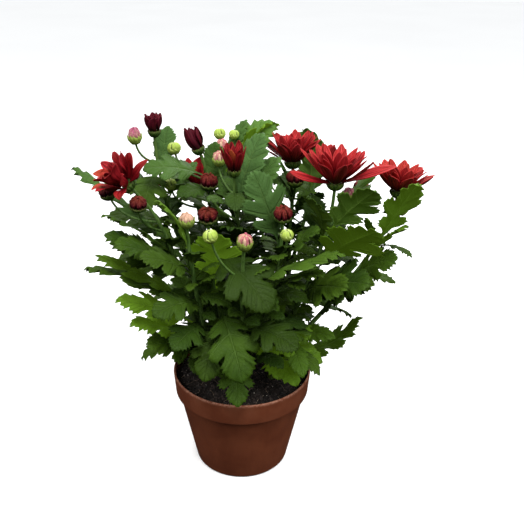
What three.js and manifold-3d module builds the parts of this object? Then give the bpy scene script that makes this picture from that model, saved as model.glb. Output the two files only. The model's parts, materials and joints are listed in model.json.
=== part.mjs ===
// A potted chrysanthemum: a round plastic nursery pot filled with soil, five rooted plants that
// branch into leafy shoots, and on the shoots open blooms, half-open blooms and closed buds.
// Millimetres, +Z up. The origin is the middle of the pot's base, on the surface it stands on.
import * as THREE from "three";
import { mergeVertices } from "three/addons/utils/BufferGeometryUtils.js";
import Module from "manifold-3d";

const wasm = await Module();
wasm.setup();

// ---------------------------------------------------------------- driving dimensions
const POT_HEIGHT = 90;
const POT_TOP_RADIUS = 60;
const POT_BASE_RADIUS = 41;
const POT_WALL = 1.8;
const POT_SECTORS = 28;
const BAND_HEIGHT = 20; // the wider collar below the rim
const BAND_STEP = 2.4; // how far the collar stands out from the wall below it
const BAND_TAPER = 1.6; // how much narrower the collar is at its foot
const DRAIN_RADIUS = 4;
const DRAIN_CIRCLE = 29;
const DRAIN_COUNT = 6;

const SOIL_LEVEL = 84.5;
const SOIL_LUMP = 1.6;
const ROOTED_DEPTH = 26; // how deep a plant stands in the soil
const FORK_DEPTH = 1.5; // how far a side shoot starts inside the first shoot

const GAP = 0.4; // between pieces that touch
const SLIVER = 0.15; // edges shorter than this go when pieces are joined
const CLEARANCE = 0.5; // between the leaves of one plant and everything of another

const STEM_BASE_RADIUS = 2.4;
const STEM_TOP_RADIUS = 1.3;
const STALK_RADIUS = 1.05; // side stalk of a bud
const STEM_SIDES = 5;
const STEM_STEPS = 5;
const STALK_STEPS = 3;
const BLADE_THICKNESS = 0.8;
const PETAL_THICKNESS = 0.7;
const PETAL_CUP = 0.9; // how far a petal's edges stand above its middle

const DEG = Math.PI / 180;
const GOLDEN_ANGLE = 137.5;
const BENDS_TRIED = 28; // bends that a leaf tries to get clear of its neighbours
const UP = new THREE.Vector3(0, 0, 1);

const v3 = (x, y, z) => new THREE.Vector3(x, y, z);
const at = (p) => v3(...p);

// A repeatable draw between -1 and 1, the same for the same seed and step.
const draw = (seed, step) => 2 * ((seed * 0.7548776662 + step * 0.5698402909) % 1) - 1;

// ---------------------------------------------------------------- solids and meshes
function solidOf(points, faces) {
  const geometry = new THREE.BufferGeometry();
  const position = points.flatMap((p) => [p.x, p.y, p.z]);
  geometry.setAttribute("position", new THREE.Float32BufferAttribute(position, 3));
  geometry.setIndex(faces.flat());
  return solidOfGeometry(geometry);
}

function solidOfGeometry(geometry) {
  geometry.deleteAttribute("normal");
  geometry.deleteAttribute("uv");
  const merged = mergeVertices(geometry, 1e-4);
  return new wasm.Manifold(
    new wasm.Mesh({
      numProp: 3,
      vertProperties: merged.attributes.position.array,
      triVerts: new Uint32Array(merged.index.array),
    }),
  );
}

const fuse = (solids) => solids.reduce((whole, next) => whole.add(next));

// Loose scraps that joining leaves are dropped: only the largest body stays.
function largest(solid) {
  const bodies = solid.decompose();
  return bodies.reduce((best, body) => (body.volume() > best.volume() ? body : best));
}

function meshOf(name, solid, material) {
  const made = largest(solid.asOriginal().simplify(SLIVER)).getMesh();
  const geometry = new THREE.BufferGeometry();
  geometry.setAttribute("position", new THREE.BufferAttribute(made.vertProperties, 3));
  geometry.setIndex(new THREE.BufferAttribute(made.triVerts, 1));
  geometry.computeVertexNormals();
  const mesh = new THREE.Mesh(geometry, material);
  mesh.name = name;
  return mesh;
}

// A closed body of rings round the Z axis. A ring is [radius, height, rise, ridge]: every second
// corner of it is rise higher and ridge further out. The first and last rings have no radius.
function turned(rings, sectors, lump = () => 0) {
  const points = [];
  const faces = [];
  const starts = rings.map(([radius, height, rise = 0, ridge = 0]) => {
    const start = points.length;
    for (let i = 0; i < (radius ? sectors : 1); i++) {
      const angle = (2 * Math.PI * i) / sectors;
      const out = radius + (i % 2) * ridge;
      const [x, y] = [out * Math.cos(angle), out * Math.sin(angle)];
      points.push(v3(x, y, height + (i % 2) * rise + lump(x, y, height)));
    }
    return start;
  });
  for (let r = 0; r + 1 < rings.length; r++) {
    const [low, high] = [starts[r], starts[r + 1]];
    for (let i = 0; i < sectors; i++) {
      const j = (i + 1) % sectors;
      if (!rings[r][0]) faces.push([low, high + j, high + i]);
      else if (!rings[r + 1][0]) faces.push([low + i, low + j, high]);
      else faces.push([low + i, low + j, high + j], [low + i, high + j, high + i]);
    }
  }
  return solidOf(points, faces);
}

// ---------------------------------------------------------------- pot and soil
// Radius of the pot's outer wall at a height, below the collar and on it.
const wallRadius = (z) => {
  const shoulder = POT_TOP_RADIUS - BAND_TAPER - BAND_STEP;
  return POT_BASE_RADIUS + ((shoulder - POT_BASE_RADIUS) * z) / (POT_HEIGHT - BAND_HEIGHT);
};
const bandRadius = (z) => POT_TOP_RADIUS - (BAND_TAPER * (POT_HEIGHT - z)) / BAND_HEIGHT;

function potSolid() {
  const foot = POT_HEIGHT - BAND_HEIGHT;
  const profile = [
    [0, 0], [POT_BASE_RADIUS - 1.5, 0], [wallRadius(1.5), 1.5], [wallRadius(foot), foot],
    [bandRadius(foot), foot + 0.8], [bandRadius(POT_HEIGHT - 1), POT_HEIGHT - 1],
    [POT_TOP_RADIUS - 0.9, POT_HEIGHT], [bandRadius(POT_HEIGHT) - POT_WALL, POT_HEIGHT - 1.4],
    [bandRadius(foot) - POT_WALL, foot + 2.4], [wallRadius(foot) - POT_WALL, foot],
    [wallRadius(POT_WALL) - POT_WALL, POT_WALL], [0, POT_WALL],
  ].map(([r, z]) => new THREE.Vector2(r, z));
  const lathe = new THREE.LatheGeometry(profile, POT_SECTORS);
  lathe.rotateX(90 * DEG);
  const body = solidOfGeometry(lathe);
  const drains = [];
  for (let i = 0; i < DRAIN_COUNT; i++) {
    const hole = new THREE.CylinderGeometry(DRAIN_RADIUS, DRAIN_RADIUS, 4 * POT_WALL, 8);
    hole.rotateX(90 * DEG);
    const angle = (2 * Math.PI * (i + 0.5)) / DRAIN_COUNT;
    hole.translate(DRAIN_CIRCLE * Math.cos(angle), DRAIN_CIRCLE * Math.sin(angle), 0);
    drains.push(solidOfGeometry(hole));
  }
  return body.subtract(fuse(drains));
}

// The soil fills the pot to just below its rim. Its top is lumpy, higher in the middle.
const lumpAt = (x, y) =>
  SOIL_LUMP * (Math.sin(0.21 * x + 1.3) * Math.cos(0.26 * y) + 0.5 * Math.sin(0.47 * x - 0.39 * y));

function soilSolid(roots) {
  const foot = POT_HEIGHT - BAND_HEIGHT;
  const bottom = POT_WALL + GAP;
  const clear = POT_WALL + 1.5 * GAP;
  const top = SOIL_LEVEL;
  const lump = (x, y, z) => (z > foot + 4 ? lumpAt(x, y) * (z > top - 1 ? 1 : 0.5) : 0);
  const rings = [
    [0, bottom], [wallRadius(bottom) - clear, bottom], [wallRadius(foot) - clear - 0.1, foot - 0.4],
    [bandRadius(foot + 3) - clear - 0.1, foot + 3.2], [bandRadius(top) - clear - 0.3, top - 2],
    [50, top - 0.2], [36, top + 0.4], [20, top + 1], [0, top + 1.2],
  ];
  const body = turned(rings, POT_SECTORS, lump);
  const holes = roots.map(([x, y]) => {
    const depth = ROOTED_DEPTH + GAP;
    const radius = STEM_BASE_RADIUS + 3 * GAP;
    const hole = new THREE.CylinderGeometry(radius, radius, depth + 20, 8);
    hole.rotateX(90 * DEG);
    hole.translate(x, y, SOIL_LEVEL - depth + (depth + 20) / 2);
    return solidOfGeometry(hole);
  });
  return body.subtract(fuse(holes));
}

// ---------------------------------------------------------------- shoots and stalks
// A shoot starts at the plant's root, or where it forks off the first shoot. It rises, bows
// outwards and ends along its head's axis.
function shootCurve(start, shoot) {
  const end = at(shoot.top);
  const rise = end.z - start.z;
  const low = v3(...shoot.lean, start.z + 0.4 * rise);
  const high = end.clone().addScaledVector(at(shoot.axis).normalize(), -0.3 * rise);
  return new THREE.CubicBezierCurve3(start, low, high, end);
}

// A bud's side stalk branches off its shoot and bends up to the bud.
function stalkCurve(curve, bud) {
  const start = pointAtHeight(curve, bud.from);
  const end = at(bud.top);
  const bend = end.clone().addScaledVector(at(bud.axis).normalize(), -0.5 * start.distanceTo(end));
  return new THREE.QuadraticBezierCurve3(start, bend, end);
}

// The point of a rising curve at a height, found by halving.
function pointAtHeight(curve, z) {
  let [low, high] = [0, 1];
  for (let i = 0; i < 30; i++) {
    const middle = (low + high) / 2;
    if (curve.getPoint(middle).z < z) low = middle;
    else high = middle;
  }
  return curve.getPoint(low);
}

// A tapered rod through points. Its sides keep one direction, so it doesn't twist.
function rod(points, radii) {
  const vertices = [];
  const faces = [];
  points.forEach((p, i) => {
    const ahead = points[Math.min(i + 1, points.length - 1)];
    const along = ahead.clone().sub(points[Math.max(i - 1, 0)]).normalize();
    const across = v3(0, 1, 0).cross(along).normalize();
    const third = along.clone().cross(across);
    for (let k = 0; k < STEM_SIDES; k++) {
      const angle = (2 * Math.PI * k) / STEM_SIDES;
      const corner = p.clone().addScaledVector(across, radii[i] * Math.cos(angle));
      vertices.push(corner.addScaledVector(third, radii[i] * Math.sin(angle)));
    }
  });
  for (let i = 0; i + 1 < points.length; i++) {
    for (let k = 0; k < STEM_SIDES; k++) {
      const [a, b] = [i * STEM_SIDES + k, i * STEM_SIDES + ((k + 1) % STEM_SIDES)];
      faces.push([a, b, b + STEM_SIDES], [a, b + STEM_SIDES, a + STEM_SIDES]);
    }
  }
  const last = (points.length - 1) * STEM_SIDES;
  for (let k = 1; k + 1 < STEM_SIDES; k++) {
    faces.push([0, k + 1, k], [last, last + k, last + k + 1]);
  }
  return solidOf(vertices, faces);
}

function shootRod(curve, depth) {
  const points = [curve.getPoint(0).addScaledVector(UP, -depth)];
  const radii = [STEM_BASE_RADIUS];
  for (let i = 0; i <= STEM_STEPS; i++) {
    const t = i / STEM_STEPS;
    points.push(curve.getPoint(t));
    radii.push(STEM_BASE_RADIUS + (STEM_TOP_RADIUS - STEM_BASE_RADIUS) * t);
  }
  return rod(points, radii);
}

function stalkRod(curve) {
  const points = curve.getPoints(STALK_STEPS);
  return rod(points, points.map(() => STALK_RADIUS));
}

// ---------------------------------------------------------------- leaves
// Half outlines of a blade, as shares of its length: [along the rib, out from the rib]. A grown
// leaf has a stalk, two side lobes and a broad end lobe on each side. A young one is narrow.
const OUTLINES = {
  grown: {
    neck: 0.17,
    ribs: [0.48, 0.76],
    edge: [
      [0.4, 0.27], [0.44, 0.12], [0.68, 0.36], [0.69, 0.15], [0.86, 0.23],
    ],
  },
  young: {
    neck: 0.16,
    ribs: [0.55],
    edge: [[0.42, 0.18], [0.65, 0.24], [0.86, 0.16]],
  },
};
const NECK_WIDTH = 1; // half the width of a leaf's stalk, mm

// A point of the blade: s runs along the rib from 0 to 1, q across it in millimetres and lift
// out of its face. The blade bows over its length, folds up or curls down at its edges, twists.
function bladePoint(leaf, s, q, lift) {
  const reach = leaf.tip.clone().sub(leaf.foot);
  const length = reach.length();
  const along = reach.normalize();
  const flat = v3(-along.y, along.x, 0).normalize();
  const face = along.clone().cross(flat);
  const turn = (leaf.roll + leaf.twist * s) * DEG;
  const side = flat.clone().multiplyScalar(Math.cos(turn)).addScaledVector(face, Math.sin(turn));
  const slope = 4 * leaf.arch * (1 - 2 * s);
  const out = along.clone().cross(side).addScaledVector(along, -slope).normalize();
  const bow = 4 * leaf.arch * s * (1 - s) * length;
  const rise = leaf.fold * Math.abs(q) - (leaf.curl * q * q) / length;
  return leaf.foot
    .clone()
    .addScaledVector(along, s * length)
    .addScaledVector(along.clone().cross(side), bow)
    .addScaledVector(side, q)
    .addScaledVector(out, rise + lift);
}

// Triangles of a flat outline, all turned the same way.
function trianglesOf(flat, corners) {
  const contour = corners.map((i) => new THREE.Vector2(flat[i][0], flat[i][1]));
  return THREE.ShapeUtils.triangulateShape(contour, []).map((triangle) => {
    const [a, b, c] = triangle.map((k) => corners[k]);
    const [pa, pb, pc] = [a, b, c].map((i) => flat[i]);
    const area = (pb[0] - pa[0]) * (pc[1] - pa[1]) - (pb[1] - pa[1]) * (pc[0] - pa[0]);
    return area > 0 ? [a, b, c] : [a, c, b];
  });
}

// A thin plate: the same triangles on both faces, and a strip round the rim.
function plateSolid(flat, triangles, rim, place) {
  const n = flat.length;
  const points = [...flat.map((p) => place(p, 1)), ...flat.map((p) => place(p, -1))];
  const lower = triangles.map(([a, b, c]) => [a + n, c + n, b + n]);
  const strip = rim.flatMap((a, i) => {
    const b = rim[(i + 1) % rim.length];
    return [[a, a + n, b + n], [a, b + n, b]];
  });
  return solidOf(points, [...triangles, ...lower, ...strip]);
}

function leafSolid(leaf) {
  const { neck, ribs, edge } = OUTLINES[leaf.kind];
  const length = leaf.foot.distanceTo(leaf.tip);
  const stalk = NECK_WIDTH / length;
  const m = edge.length;
  const right = [[neck, stalk], ...edge.map(([s, q]) => [s, q * leaf.width])];
  const left = right.map(([s, q]) => [s, -q]);
  const flat = [
    [0, -stalk], [0, stalk], ...right, [1, 0], ...left.reverse(), [neck, 0],
    ...ribs.map((s) => [s, 0]),
  ];
  const tip = m + 3;
  const neckMiddle = 2 * m + 5;
  const ribCorners = ribs.map((_, k) => neckMiddle + 1 + k);
  const rightHalf = [neckMiddle];
  for (let i = 2; i <= tip; i++) rightHalf.push(i);
  const leftHalf = [];
  for (let i = tip; i < neckMiddle; i++) leftHalf.push(i);
  const triangles = [
    ...trianglesOf(flat, [0, 1, 2, neckMiddle, neckMiddle - 1]),
    ...trianglesOf(flat, [...rightHalf, ...ribCorners.toReversed()]),
    ...trianglesOf(flat, [...leftHalf, neckMiddle, ...ribCorners]),
  ];
  const rim = flat.slice(0, neckMiddle).map((_, i) => neckMiddle - 1 - i);
  const half = BLADE_THICKNESS / 2;
  return plateSolid(flat, triangles, rim, ([s, q], sign) =>
    bladePoint(leaf, s, q * length, sign * half),
  );
}

// ---------------------------------------------------------------- heads
// A petal's half outline: [share of its length, share of its half width]. Its end is blunt.
const PETAL_OUTLINE = [[0.6, 1], [0.97, 0.42]];

// A head's petals stand in layers, each on a hub of its own radius and height. Elevations are
// above the head's own level.
const LAYERS = {
  bloom: [
    { count: 9, elevation: 32, length: 1, hub: 5, height: 5, bend: 0.14, width: 9.2 },
    { count: 7, elevation: 50, length: 0.9, hub: 4, height: 6.6, bend: 0.1, width: 8.8 },
    { count: 4, elevation: 68, length: 0.72, hub: 2.9, height: 8.2, bend: 0.06, width: 7.8 },
  ],
  half: [
    { count: 6, elevation: 68, length: 1, hub: 3.8, height: 3.8, bend: 0.2, width: 6.8 },
    { count: 3, elevation: 82, length: 0.88, hub: 2.2, height: 5.4, bend: 0.04, width: 5.4 },
  ],
};
const SPREAD = { azimuth: 5, elevation: 6, length: 0.08 }; // how much petals of a layer differ
const STEEPEST = 84; // petals of a head stand up to this, so that they don't cross at its middle

// How many sides a head's cup has, and the ball of a bud.
const SECTORS = { bloom: 8, half: 8, dark: 7, pink: 6, green: 6 };

// The green cup and the red core of a head: rings of [radius, height, rise].
const CUPS = {
  bloom: [[0, -1.6], [4.4, -0.6], [7.2, 3.4, 0.6], [5.6, 2.4], [0, 2.4]],
  half: [[0, -1.6], [4, -0.6], [6.6, 4.4, 1.4], [4.6, 2.4], [0, 2.4]],
};
const CORES = {
  bloom: [[0, 2.8], [4.2, 2.8], [1.6, 9.4], [0, 9.8]],
  half: [[0, 2.8], [3, 2.8], [1.2, 6.6], [0, 7]],
};
const CORE_SECTORS = 6;

// A closed bud is a ball of wrapped petals. Shares of its radius: [radius, height, rise, ridge].
const BUD_RINGS = [
  [0, 0.25], [0.5, 0.25], [0.93, 0.74, 0, 0.05], [1, 1.1, 0, 0.07], [0.7, 1.62, 0.1, 0.06],
  [0, 1.72],
];
// How far the sepals rise round a bud, and how slim its ball is in them.
const BUDS = {
  dark: { sepals: 0.22, slim: 1 },
  pink: { sepals: 0.6, slim: 0.84 },
};
// The smallest buds are still shut in their green sepals: one ball, ridged by them.
const GREEN_RINGS = [
  [0, -0.25], [0.62, -0.06], [1, 0.6, 0, 0.06], [0.9, 1.15, 0, 0.08], [0.45, 1.5], [0, 1.54],
];

// The directions of a petal: out from the hub, along the petal, across it and out of its face.
function petalFrame({ azimuth, elevation }) {
  const out = v3(Math.cos(azimuth * DEG), Math.sin(azimuth * DEG), 0);
  const side = UP.clone().cross(out);
  const along = out.clone().multiplyScalar(Math.cos(elevation * DEG));
  along.addScaledVector(UP, Math.sin(elevation * DEG));
  return { out, side, along, face: along.clone().cross(side) };
}

// The width of a layer's petals. Where they stand steep they press together, so they are
// narrower: neighbours have to pass one another at their widest place.
function petalWidth(head, layer) {
  const elevation = Math.min(layer.elevation - (head.opening ?? 0), STEEPEST) * DEG;
  const s = PETAL_OUTLINE[0][0];
  const reach = s * Math.cos(elevation) - layer.bend * s * s * Math.sin(elevation);
  const radius = layer.hub + layer.length * head.size * reach;
  return Math.min(layer.width, 1.9 * radius * Math.tan(Math.PI / layer.count));
}

// A layer of petals is one plate, folded up at its hub: a middle point, then for each petal a
// point of the hub between it and the petal before, and the petal's own outline.
function layerSolid(layer, petals, width) {
  const corners = 2 * PETAL_OUTLINE.length + 1;
  const places = [{ point: v3(0, 0, layer.height), face: UP.clone() }];
  petals.forEach((petal, i) => {
    const { out, side, along, face } = petalFrame(petal);
    const before = petals[(i + petals.length - 1) % petals.length];
    const between = out.clone().add(petalFrame(before).out).normalize();
    const fold = face.clone().lerp(petalFrame(before).face, 0.5).add(UP);
    fold.multiplyScalar(2 / fold.lengthSq());
    const root = out.clone().multiplyScalar(layer.hub).setZ(layer.height);
    places.push({
      point: between.multiplyScalar(layer.hub).setZ(layer.height),
      face: fold,
    });
    const outline = [...PETAL_OUTLINE.map(([s, q]) => [s, -q]), ...PETAL_OUTLINE.toReversed()];
    for (const [s, q] of outline) {
      const point = root.clone().addScaledVector(along, petal.length * s);
      point.addScaledVector(side, (width / 2) * q);
      point.addScaledVector(face, petal.length * layer.bend * s * s + PETAL_CUP * q * q);
      places.push({ point, face });
    }
  });
  const triangles = petals.flatMap((_, i) => {
    const a = 1 + i * corners;
    const next = 1 + ((i + 1) % petals.length) * corners;
    const [left, leftTop, rightTop, right] = [1, 2, 3, 4].map((k) => a + k);
    return [
      [0, a, next], [a, left, right], [a, right, next], [left, leftTop, rightTop],
      [left, rightTop, right],
    ];
  });
  const rim = places.slice(1).map((_, i) => i + 1);
  const half = PETAL_THICKNESS / 2;
  return plateSolid(places, triangles, rim, ({ point, face }, sign) =>
    point.clone().addScaledVector(face, sign * half),
  );
}

function layersOf(head, seed) {
  return LAYERS[head.kind].map((layer, k) => {
    const petals = Array.from({ length: layer.count }, (_, i) => ({
      azimuth: (360 * (i + 0.5 * k)) / layer.count + SPREAD.azimuth * draw(seed, 3 * i + k),
      elevation: Math.min(
        layer.elevation - (head.opening ?? 0) + SPREAD.elevation * draw(seed + 7, 5 * i + k),
        STEEPEST,
      ),
      length: layer.length * head.size * (1 + SPREAD.length * draw(seed + 13, 7 * i + k)),
    }));
    // A few petals of the outermost layer stand apart from the rest.
    for (const [azimuth, elevation, length] of k === 0 ? (head.apart ?? []) : []) {
      const from = (petal) => Math.abs(((petal.azimuth - azimuth + 540) % 360) - 180);
      const nearest = petals.reduce((best, petal) => (from(petal) < from(best) ? petal : best));
      Object.assign(nearest, { elevation, length });
    }
    return layerSolid(layer, petals, petalWidth(head, layer));
  });
}

// The solids of a head, in its own frame: the green cup and, but for a green bud, what is in it.
function headSolids(head, seed) {
  const sectors = SECTORS[head.kind];
  const r = head.size;
  const scaled = (rings, slim = 1) =>
    rings.map(([radius, height, rise = 0, ridge = 0]) => [
      slim * radius * r, height * r, rise * r, slim * ridge * r,
    ]);
  if (head.kind === "green") return { cup: turned(scaled(GREEN_RINGS), sectors) };
  if (head.kind in LAYERS) {
    const core = turned(CORES[head.kind], CORE_SECTORS);
    return { cup: turned(CUPS[head.kind], sectors), top: fuse([core, ...layersOf(head, seed)]) };
  }
  const { sepals, slim } = BUDS[head.kind];
  const seat = 0.25 * r - GAP;
  const cup = [
    [0, -1.2], [0.66 * r, -0.1 * r], [1.08 * r + GAP, 0.62 * r, sepals * r], [0.66 * r, seat],
    [0, seat],
  ];
  return { cup: turned(cup, sectors), top: turned(scaled(BUD_RINGS, slim), sectors) };
}

// A head's frame: its own +Z is its axis, its origin the end of the stem that carries it.
function headMatrix(head) {
  const turn = new THREE.Quaternion().setFromUnitVectors(UP, at(head.axis).normalize());
  return new THREE.Matrix4().compose(at(head.top), turn, v3(1, 1, 1)).elements;
}

// ---------------------------------------------------------------- the five plants
// A leaf by hand: the height at which it leaves its shoot, where its tip is, and its form.
const leaf = (from, tip, form = {}) => ({ from, tip, ...form });
// A bud on a side stalk that leaves its shoot at the height from.
const bud = (kind, size, from, top, axis) => ({ kind, size, from, top, axis });

// Each shoot carries one head at its top. Its list of leaves is placed by hand, and its spiral
// says how many more leaves follow it round: [count, lowest height, highest height, length].
const PLANTS = [
  {
    name: "plant_left",
    root: [-22, -10],
    shoots: [
      {
        kind: "bloom", size: 28, top: [-84, -20, 259], axis: [-0.66, -0.22, 0.72], lean: [-46, -18],
        opening: -24, apart: [[0, 12, 25], [40, 44, 20], [-40, 40, 20], [-80, 4, 18]],
        buds: [
          bud("dark", 6.4, 230, [-103, -8, 247], [-0.3, -0.1, 0.95]),
          bud("dark", 6.2, 222, [-77, -33, 247], [0.1, -0.3, 0.95]),
        ],
        leaves: [
          leaf(212, [-142, 34, 259], { width: 0.24, roll: 10, arch: 0.02 }),
          leaf(202, [-104, -34, 243], { width: 0.5, roll: 10, arch: 0.04, kind: "young" }),
          leaf(188, [-90, -60, 229], { width: 0.7, roll: -25, arch: 0.06 }),
          leaf(174, [-103, -36, 228], { width: 0.6, roll: -30, arch: 0.06 }),
          leaf(158, [-111, -38, 211], { width: 0.26, roll: -30, arch: 0.04 }),
          leaf(152, [-121, -38, 199], { width: 0.55, roll: -20, arch: 0.08, twist: 40 }),
          leaf(138, [-91, -50, 189], { width: 0.55, roll: -25, arch: 0.05 }),
          leaf(124, [-85, -52, 160], { width: 0.62, roll: -15, arch: 0.06 }),
          leaf(108, [-74, -50, 140], { width: 0.8, roll: -30, arch: 0.1 }),
        ],
        spiral: [3, 112, 210, 42],
      },
      {
        kind: "pink", size: 5.6, top: [-39, -49, 241], axis: [0, -0.15, 1], lean: [-28, -40], fork: 94,
        buds: [],
        leaves: [
          leaf(196, [-72, -66, 222], { width: 0.95, roll: -20, arch: 0.1 }),
          leaf(208, [-63, -36, 256], { width: 0.9, roll: 35, arch: 0.1 }),
          leaf(172, [-64, -72, 178], { width: 0.9, roll: -30, arch: 0.14 }),
          leaf(146, [-50, -74, 150], { width: 0.9, roll: -15, arch: 0.16 }),
          leaf(114, [-36, -62, 122], { width: 0.95, roll: -10, arch: 0.14, kind: "young" }),
        ],
        spiral: [5, 112, 220, 40],
      },
    ],
  },
  {
    name: "plant_front",
    root: [-2, -24],
    shoots: [
      {
        kind: "dark", size: 7.2, top: [-25, -32, 238], axis: [0, -0.35, 0.93], lean: [-16, -38],
        buds: [],
        leaves: [
          leaf(176, [-16, -52, 234], { width: 0.95, roll: 0, arch: 0.04, fold: 0.2 }),
          leaf(206, [23, -76, 184], { width: 0.9, roll: 15, arch: 0.18 }),
          leaf(164, [14, -78, 126], { width: 0.85, roll: 20, arch: 0.16 }),
          leaf(120, [-1, -74, 99], { width: 0.8, roll: -5, arch: 0.16 }),
          leaf(150, [-27, -74, 122], { width: 0.85, roll: -10, arch: 0.16 }),
        ],
        spiral: [4, 112, 222, 42],
      },
      {
        kind: "pink", size: 5.6, top: [3, -59, 228], axis: [0.1, -0.2, 1], lean: [6, -44], fork: 92,
        buds: [bud("green", 4.8, 200, [-20, -68, 237], [-0.2, -0.1, 1])],
        leaves: [
          leaf(190, [72, -62, 235], { width: 0.42, roll: -5, arch: 0.04 }),
          leaf(150, [44, -74, 152], { width: 0.95, roll: 15, arch: 0.16 }),
        ],
        spiral: [4, 112, 205, 40],
      },
      {
        kind: "dark", size: 6.2, top: [31, -34, 240], axis: [0, -0.25, 1], lean: [24, -46], fork: 96,
        buds: [bud("green", 4.4, 212, [34, -48, 231], [0, -0.1, 1])],
        leaves: [
          leaf(214, [8, -26, 276], { width: 0.85, roll: -45, arch: 0.04 }),
          leaf(184, [62, -58, 207], { width: 0.85, roll: 0, arch: 0.08 }),
          leaf(200, [58, -42, 238], { width: 0.9, roll: 10, arch: 0.06 }),
          leaf(116, [34, -62, 128], { width: 0.9, roll: 0, arch: 0.16, kind: "young" }),
        ],
        spiral: [4, 112, 222, 42],
      },
    ],
  },
  {
    name: "plant_right",
    root: [24, -10],
    shoots: [
      {
        kind: "bloom", size: 31, top: [71, -10, 258], axis: [0.03, 0.05, 1], lean: [40, -14],
        apart: [[186, 8, 36], [-6, 16, 42]],
        buds: [bud("pink", 4.6, 226, [82, 0, 246], [0.2, 0, 1])],
        leaves: [
          leaf(212, [50, -30, 258], { width: 0.95, roll: -20, arch: 0.1 }),
          leaf(220, [99, -36, 266], { width: 0.9, roll: -45, arch: 0.04 }),
          leaf(220, [106, 18, 264], { width: 1, roll: -30, arch: 0.04 }),
          leaf(206, [66, 2, 254], { width: 1, roll: -20, arch: 0.08, kind: "young" }),
          leaf(196, [99, -56, 241], { width: 1.0, roll: -40, arch: 0.04 }),
          leaf(168, [80, -58, 196], { width: 0.9, roll: 40, arch: 0.1 }),
          leaf(140, [36, -62, 149], { width: 1.05, roll: 0, arch: 0.08 }),
          leaf(178, [99, -46, 209], { width: 0.95, roll: 45, arch: 0.06 }),
          leaf(124, [50, -60, 118], { width: 0.8, roll: 0, arch: 0.16, kind: "young" }),
          leaf(112, [64, -50, 114], { width: 0.7, roll: 0, arch: 0.18, kind: "young" }),
        ],
        spiral: [3, 140, 232, 42],
      },
      {
        kind: "bloom", size: 25, top: [123, 6, 247], axis: [0.1, 0.05, 1], lean: [68, -10], fork: 94,
        buds: [bud("pink", 5, 214, [127, 8, 232], [0.3, 0.1, 1])],
        leaves: [
          leaf(206, [127, -44, 275], { width: 0.5, roll: -10, arch: 0.02 }),
          leaf(198, [104, -12, 237], { width: 0.9, roll: -30, arch: 0.06, kind: "young" }),
          leaf(196, [129, -34, 241], { width: 0.75, roll: 20, arch: 0.04 }),
          leaf(180, [117, -34, 217], { width: 0.8, roll: 52, arch: 0.08 }),
          leaf(160, [109, -36, 194], { width: 0.75, roll: 52, arch: 0.1 }),
          leaf(146, [82, -42, 182], { width: 0.7, roll: 40, arch: 0.06 }),
          leaf(108, [97, -20, 152], { width: 0.45, roll: 20, arch: -0.16 }),
          leaf(122, [76, -38, 142], { width: 0.8, roll: 35, arch: 0.2, kind: "young" }),
        ],
        spiral: [3, 170, 240, 42],
      },
    ],
  },
  {
    name: "plant_rear_left",
    root: [-18, 22],
    shoots: [
      {
        kind: "half", size: 16, top: [-72, 30, 287], axis: [0, -0.05, 1], lean: [-42, 26], opening: -8,
        buds: [bud("pink", 5.4, 264, [-85, 16, 285], [-0.1, -0.05, 1])],
        leaves: [
          leaf(254, [-64, 44, 293], { width: 1.1, roll: 0, arch: 0.04, kind: "young" }),
          leaf(256, [-78, -8, 236], { width: 1.1, roll: 0, arch: 0.14 }),
          leaf(232, [-108, 26, 256], { width: 0.9, roll: -10, arch: 0.1 }),
          leaf(206, [-112, 16, 222], { width: 0.95, roll: -10, arch: 0.12 }),
        ],
        spiral: [6, 126, 236, 64],
      },
      {
        kind: "half", size: 16.5, top: [-34, 10, 279], axis: [-0.35, -0.1, 0.93], lean: [-24, 18],
        fork: 96, opening: -12,
        buds: [
          bud("green", 5, 256, [-56, 30, 273], [-0.2, 0.1, 1]),
          bud("green", 4.6, 232, [-59, 20, 246], [-0.2, 0, 1]),
        ],
        leaves: [
          leaf(258, [-79, 4, 267], { width: 0.95, roll: -20, arch: 0.1 }),
          leaf(240, [-50, -16, 256], { width: 0.95, roll: -20, arch: 0.2, kind: "young" }),
          leaf(246, [-24, 30, 284], { width: 1.1, roll: 0, arch: 0.04, kind: "young" }),
        ],
        spiral: [4, 120, 238, 42],
      },
      {
        kind: "bloom", size: 27, top: [-46, 78, 224], axis: [-0.25, 0.7, 0.7], lean: [-30, 46],
        fork: 92,
        buds: [
          bud("dark", 6.4, 200, [-84, 64, 226], [-0.5, 0.3, 0.9]),
          bud("pink", 5.4, 176, [-68, 86, 198], [-0.3, 0.6, 0.8]),
        ],
        leaves: [],
        spiral: [10, 100, 214, 74],
      },
    ],
  },
  {
    name: "plant_rear_right",
    root: [20, 20],
    shoots: [
      {
        kind: "bloom", size: 26, top: [40, 32, 262], axis: [-0.05, 0.05, 1], lean: [34, 26],
        buds: [bud("dark", 6.4, 236, [41, 3, 256], [0, -0.1, 1])],
        leaves: [
          leaf(234, [16, 2, 264], { width: 1.1, roll: -30, arch: 0.1 }),
          leaf(214, [14, -14, 250], { width: 1, roll: -10, arch: 0.1 }),
          leaf(230, [27, 12, 273], { width: 1, roll: -40, arch: 0.08, kind: "young" }),
          leaf(218, [56, 10, 257], { width: 1, roll: -30, arch: 0.08, kind: "young" }),
        ],
        spiral: [4, 140, 236, 52],
      },
      {
        kind: "half", size: 20, top: [-6, -15, 269], axis: [0, -0.12, 1], lean: [6, 4],
        fork: 100, opening: 4,
        buds: [
          bud("dark", 6.4, 230, [-26, 0, 253], [0, -0.1, 1]),
          bud("pink", 5, 252, [-19, 10, 270], [0, -0.1, 1]),
        ],
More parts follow.
